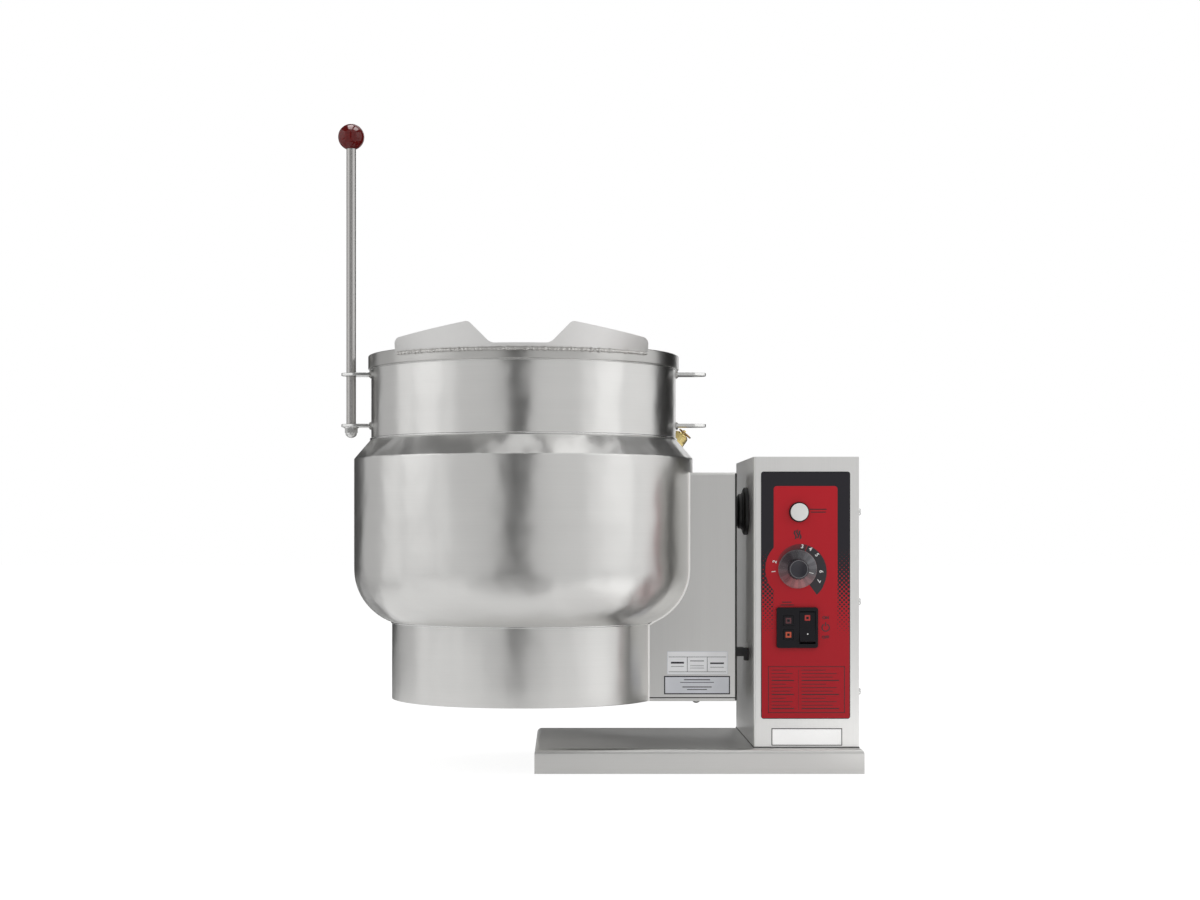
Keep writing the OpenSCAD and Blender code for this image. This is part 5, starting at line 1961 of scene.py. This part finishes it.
    def make_rules(self) -> None:
        """The ruled frame with two columns of bars at the film's foot, and the bars beside the controls."""
        left, right, foot, top, line = 9.1, 107.4, 7.6, 67.2, 0.8
        rules = [
            self.rule(left, right, foot, foot + line), self.rule(left, right, top - line, top),
            self.rule(left, left + line, foot, top), self.rule(right - line, right, foot, top),
            self.rule(48, 48.4, foot + 4, top - 4),
        ]
        for column, width in ((13.5, 30), (52, 50)):
            for row in range(12):
                z, heading = foot + 5 + row * 4.5, row % 4 == 0
                end = column + width * (0.96, 0.8, 0.9, 0.62)[row % 4]
                rules.append(self.rule(column, end, z, z + (1.2 if heading else 0.7)))
        beside = ((62, 268, 22), (64, 264.4, 19), (27, 149, 12), (25, 145.4, 17), (25, 90.6, 12))
        rules += [self.rule(start, start + width, z, z + 1.2) for start, z, width in beside]
        dress(join("ruled_frame", rules), Body.STAND, self.finishes.print_dark_red)


class HiddenWorks:
    """CAD nodes that stay as they are and only get their finish."""

    def __init__(self, finishes: Finishes) -> None:
        """Lists the nodes by finish.

        Args:
            finishes: the materials.
        """
        self.by_finish = (
            (finishes.plain_steel, ("mount_pads", "bearing_frame", "trunnion_shaft", "shaft_collar")),
            (finishes.plain_steel, ("conduit_bush",)),
            (finishes.bronze, ("bearing_left", "bearing_right", "element_flange")),
            (finishes.bright_steel, ("skirt_screws", "box_screws", "shaft_screws", "frame_bolts", "spindle")),
            (finishes.base_steel, ("skirt_cover",)),
            (finishes.rubber, ("sealing_strip",)),
            (finishes.black_paint, ("stop_pin",)),
            (finishes.grey_plastic, ("thermostat",)),
            (finishes.black_plastic, ("terminal_block",)),
            (finishes.moulding, ("contactor",)),
            (finishes.sheath, ("element_upper", "element_lower")),
        )

    def build(self) -> None:
        """Paints them."""
        for material, nodes in self.by_finish:
            for node in nodes:
                paint_node(node, material)


class Card(NamedTuple):
    """A plain card that only reflections see, as a photographer's flag.

    It stands on the floor, and may also lie on the floor towards the object.
    """

    name: str
    azimuth: float
    distance: float
    width: float
    height: float
    shade: float
    floor_from: float | None = None


class FlatCard(NamedTuple):
    """A level card: its name, two opposite corners, its height and its shade."""

    name: str
    low: Flat
    high: Flat
    z: float
    shade: float


class Lamp(NamedTuple):
    """A soft rectangular lamp: its name, place, power in watts and size."""

    name: str
    place: Point
    power: float
    size: Flat


@dataclass
class Studio:
    """Floor, backdrop colour, lamps, cards and the camera. The cards stand round the kettle's axis."""

    centre: Flat
    camera_place: Point = (-0.1715, -2.7475, 0.311)
    lens: float = 61.3
    shift: Flat = (0.0292, 0.0667)
    lamps_face: Point = (-0.15, 0, 0.35)
    lamps: tuple[Lamp, ...] = (
        Lamp("lamp_right", (2.15, -1.1, 1.3), 12.2, (1.3, 2.2)),
        Lamp("lamp_left", (-2.7, -0.85, 1.3), 10.9, (1.3, 2.2)),
        Lamp("lamp_top", (0.3, 0.9, 2.9), 14, (2.2, 2.2)),
    )
    cards: tuple[Card, ...] = (
        Card("card_camera", 184.4, 2.58, 0.66, 3.0, 0.0, 0.62),
        Card("card_front_left", 211, 2.62, 1.8, 3.0, 0.66, 0.8),
        Card("card_front_right", 155, 2.62, 2.0, 3.0, 0.7, 0.8),
        Card("card_back_right", 47, 2.6, 1.8, 3.0, 0.01, 0.6),
        Card("card_back", 2, 2.7, 1.1, 3.0, 0.17, 0.5),
        Card("card_back_left", -32, 2.6, 1.55, 3.0, 0.05, 0.6),
        Card("card_left", -61, 2.6, 1.5, 3.0, 0.55, 0.7),
        Card("card_behind_right_lamp", 114.4, 3.0, 1.5, 2.7, 0.0),
        Card("card_behind_left_lamp", 251.5, 3.0, 1.5, 2.7, 0.0),
    )
    card_foot: float = 2 * MM

    def build(self) -> None:
        """Sets up everything round the object."""
        self.make_camera()
        self.make_world()
        self.make_floor()
        for lamp in self.lamps:
            self.make_lamp(lamp)
        for card in self.cards:
            self.make_card(card)
        for card in self.flat_cards():
            self.make_flat_card(card)
        bpy.context.scene.view_settings.view_transform = "Standard"

    def make_camera(self) -> None:
        """A level camera at the photograph's place."""
        deselect()
        bpy.ops.object.camera_add(location=self.camera_place, rotation=UPRIGHT)
        camera = bpy.context.object
        camera.data.lens = self.lens
        camera.data.sensor_width = 36
        camera.data.shift_x, camera.data.shift_y = self.shift
        camera.data.clip_end = 50
        bpy.context.scene.camera = camera

    def make_world(self) -> None:
        """A white surround for the camera and reflections, and a softer one for plain light."""
        world = bpy.data.worlds.new("surround")
        world.use_nodes = True
        bpy.context.scene.world = world
        graph = Graph(world.node_tree)
        path = graph.add("LightPath").outputs
        seen = graph.maths("MAXIMUM", path["Is Camera Ray"], path["Is Glossy Ray"])
        seen = graph.maths("MAXIMUM", seen, path["Is Transmission Ray"])
        strength = graph.maths("MULTIPLY_ADD", seen, 0.35, 0.65)
        back = graph.add("Background", {"Color": (1, 1, 1), "Strength": strength})
        graph.add("OutputWorld", {0: back.outputs[0]})

    def make_floor(self) -> None:
        """A pale floor that keeps a soft shadow."""
        deselect()
        bpy.ops.mesh.primitive_plane_add(size=30, location=(0, 0, 0))
        floor = bpy.context.object
        floor.name = "floor"
        material, graph = new_material("floor_pale")
        plain = graph.add("BsdfDiffuse", {"Color": (0.86, 0.86, 0.86)})
        white = graph.add("Emission", {"Color": (1, 1, 1), "Strength": 1.22})
        path = graph.add("LightPath").outputs
        seen = graph.maths("MAXIMUM", path["Is Camera Ray"], path["Is Transmission Ray"])
        seen = graph.maths("MAXIMUM", seen, graph.maths("MULTIPLY", path["Is Glossy Ray"], 0.5))
        share = graph.maths("MULTIPLY", seen, 0.72)
        blend = graph.add("MixShader", {0: share, 1: plain.outputs[0], 2: white.outputs[0]})
        graph.add("OutputMaterial", {0: blend.outputs[0]})
        floor.data.materials.append(material)

    def make_lamp(self, lamp: Lamp) -> None:
        """Adds one lamp, turned towards the object.

        Args:
            lamp: its place, power and size.
        """
        deselect()
        bpy.ops.object.light_add(type="AREA", location=lamp.place)
        obj = bpy.context.object
        obj.name = lamp.name
        obj.data.shape = "RECTANGLE"
        obj.data.energy = lamp.power
        obj.data.size, obj.data.size_y = lamp.size
        away = Vector(self.lamps_face) - Vector(lamp.place)
        obj.rotation_euler = away.to_track_quat("-Z", "Y").to_euler()

    def make_card(self, card: Card) -> None:
        """Adds one standing card, with its strip on the floor where it has one.

        Args:
            card: its place, size and shade.
        """
        angle = math.radians(card.azimuth)
        away = Vector((math.sin(angle), math.cos(angle), 0))
        across = Vector((away.y, -away.x, 0)) * card.width / 2
        axis = Vector((*self.centre, self.card_foot))
        foot = axis + away * card.distance
        deselect()
        bpy.ops.mesh.primitive_plane_add(size=1, location=foot + Vector((0, 0, card.height / 2)))
        obj = bpy.context.object
        obj.name = card.name
        obj.scale = (card.width, card.height, 1)
        obj.rotation_euler = away.to_track_quat("Z", "Y").to_euler()
        settle(obj)
        if card.floor_from is not None:
            inner = axis + away * card.floor_from
            corners = [foot - across, foot + across, inner + across, inner - across]
            strip = draw(card.name + "_floor", corners, True)
            with editing(strip):
                bpy.ops.mesh.edge_face_add()
            obj = join(card.name, [obj, strip])
        self.finish_card(obj, card.shade)

    def flat_cards(self) -> tuple[FlatCard, ...]:
        """Cards overhead, which the shoulder shows, one on the floor for the lip, and two for the ball.

        Returns:
            The cards.
        """
        x, y = self.centre
        ball = node_middle("ball_knob")
        pane_z, pane_shade = ball.z + 42 * MM, 8.0
        left = (ball.x - 14 * MM, ball.y - 34 * MM), (ball.x + 9 * MM, ball.y + 3 * MM)
        right = (ball.x + 16 * MM, ball.y - 34 * MM), (ball.x + 42 * MM, ball.y - 2 * MM)
        return (
            FlatCard("card_ceiling_left", (x - 2.2, -1.3), (x - 0.42, 2.4), 2.5, 0.04),
            FlatCard("card_ceiling_bright", (x + 0.5, -0.35), (x + 1.2, 0.7), 2.45, 2.2),
            FlatCard("card_ceiling_middle", (x + 0.16, -1.3), (x + 0.44, 0.6), 2.5, 0.1),
            FlatCard("card_ceiling_right", (x + 1.2, -1.3), (x + 2.4, 2.4), 2.5, 0.15),
            FlatCard("card_above_lamp", (-1.0, -0.4), (1.6, 2.2), 3.1, 0.0),
            FlatCard("card_floor_bright", (x + 0.42, y - 0.55), (x + 0.95, y - 0.2), 4 * MM, 1.4),
            FlatCard("card_pane_left", *left, pane_z, pane_shade),
            FlatCard("card_pane_right", *right, pane_z, pane_shade),
        )

    def make_flat_card(self, card: FlatCard) -> None:
        """Adds one level card.

        Args:
            card: its corners, height and shade.
        """
        low, high = card.low, card.high
        middle = ((low[0] + high[0]) / 2, (low[1] + high[1]) / 2, card.z)
        deselect()
        bpy.ops.mesh.primitive_plane_add(size=1, location=middle)
        obj = bpy.context.object
        obj.name = card.name
        obj.scale = (high[0] - low[0], high[1] - low[1], 1)
        self.finish_card(settle(obj), card.shade)

    @staticmethod
    def finish_card(obj: bpy.types.Object, shade: float) -> None:
        """Gives a card its even shade and hides it from all but reflections.

        Args:
            obj: the card.
            shade: its brightness, 1 for white.
        """
        material, graph = new_material(obj.name + "_cloth")
        plain = graph.add("Emission", {"Color": (shade, shade, shade)})
        graph.add("OutputMaterial", {0: plain.outputs[0]})
        obj.data.materials.append(material)
        obj.visible_camera = False
        obj.visible_diffuse = False
        obj.visible_shadow = False
        obj.visible_transmission = False


def main() -> None:
    """Builds the object's looks in order."""
    logging.basicConfig(level=logging.INFO, format="%(name)s: %(message)s")
    film_low, film_high = node_box("control_overlay")
    dial_low, dial_high = node_box("dial_knob")
    film = PanelFilm(
        "film_printed",
        centre_x=(film_low.x + film_high.x) / 2,
        half_film=(film_high.x - film_low.x) / 2,
        red_top=film_high.z - 18.6 * MM,
        film_foot=film_low.z,
        dial=((dial_low.x + dial_high.x) / 2, (dial_low.z + dial_high.z) / 2),
    )
    edge_r = (dial_high.x - dial_low.x) / 2 - 1.1 * MM
    finishes = Finishes(film, SmokyMoulding("plastic_dial_skirt", film.dial, edge_r))
    shell = Shell(finishes)
    Studio(shell.centre).build()
    shell.build()
    Lip(finishes, shell).build()
    Handle(finishes, shell).build()
    Valve(finishes).build()
    ElementBox(finishes, shell).build()
    Console(finishes).build()
    Controls(finishes).build()
    HiddenWorks(finishes).build()


if __name__ == "__main__":
    main()
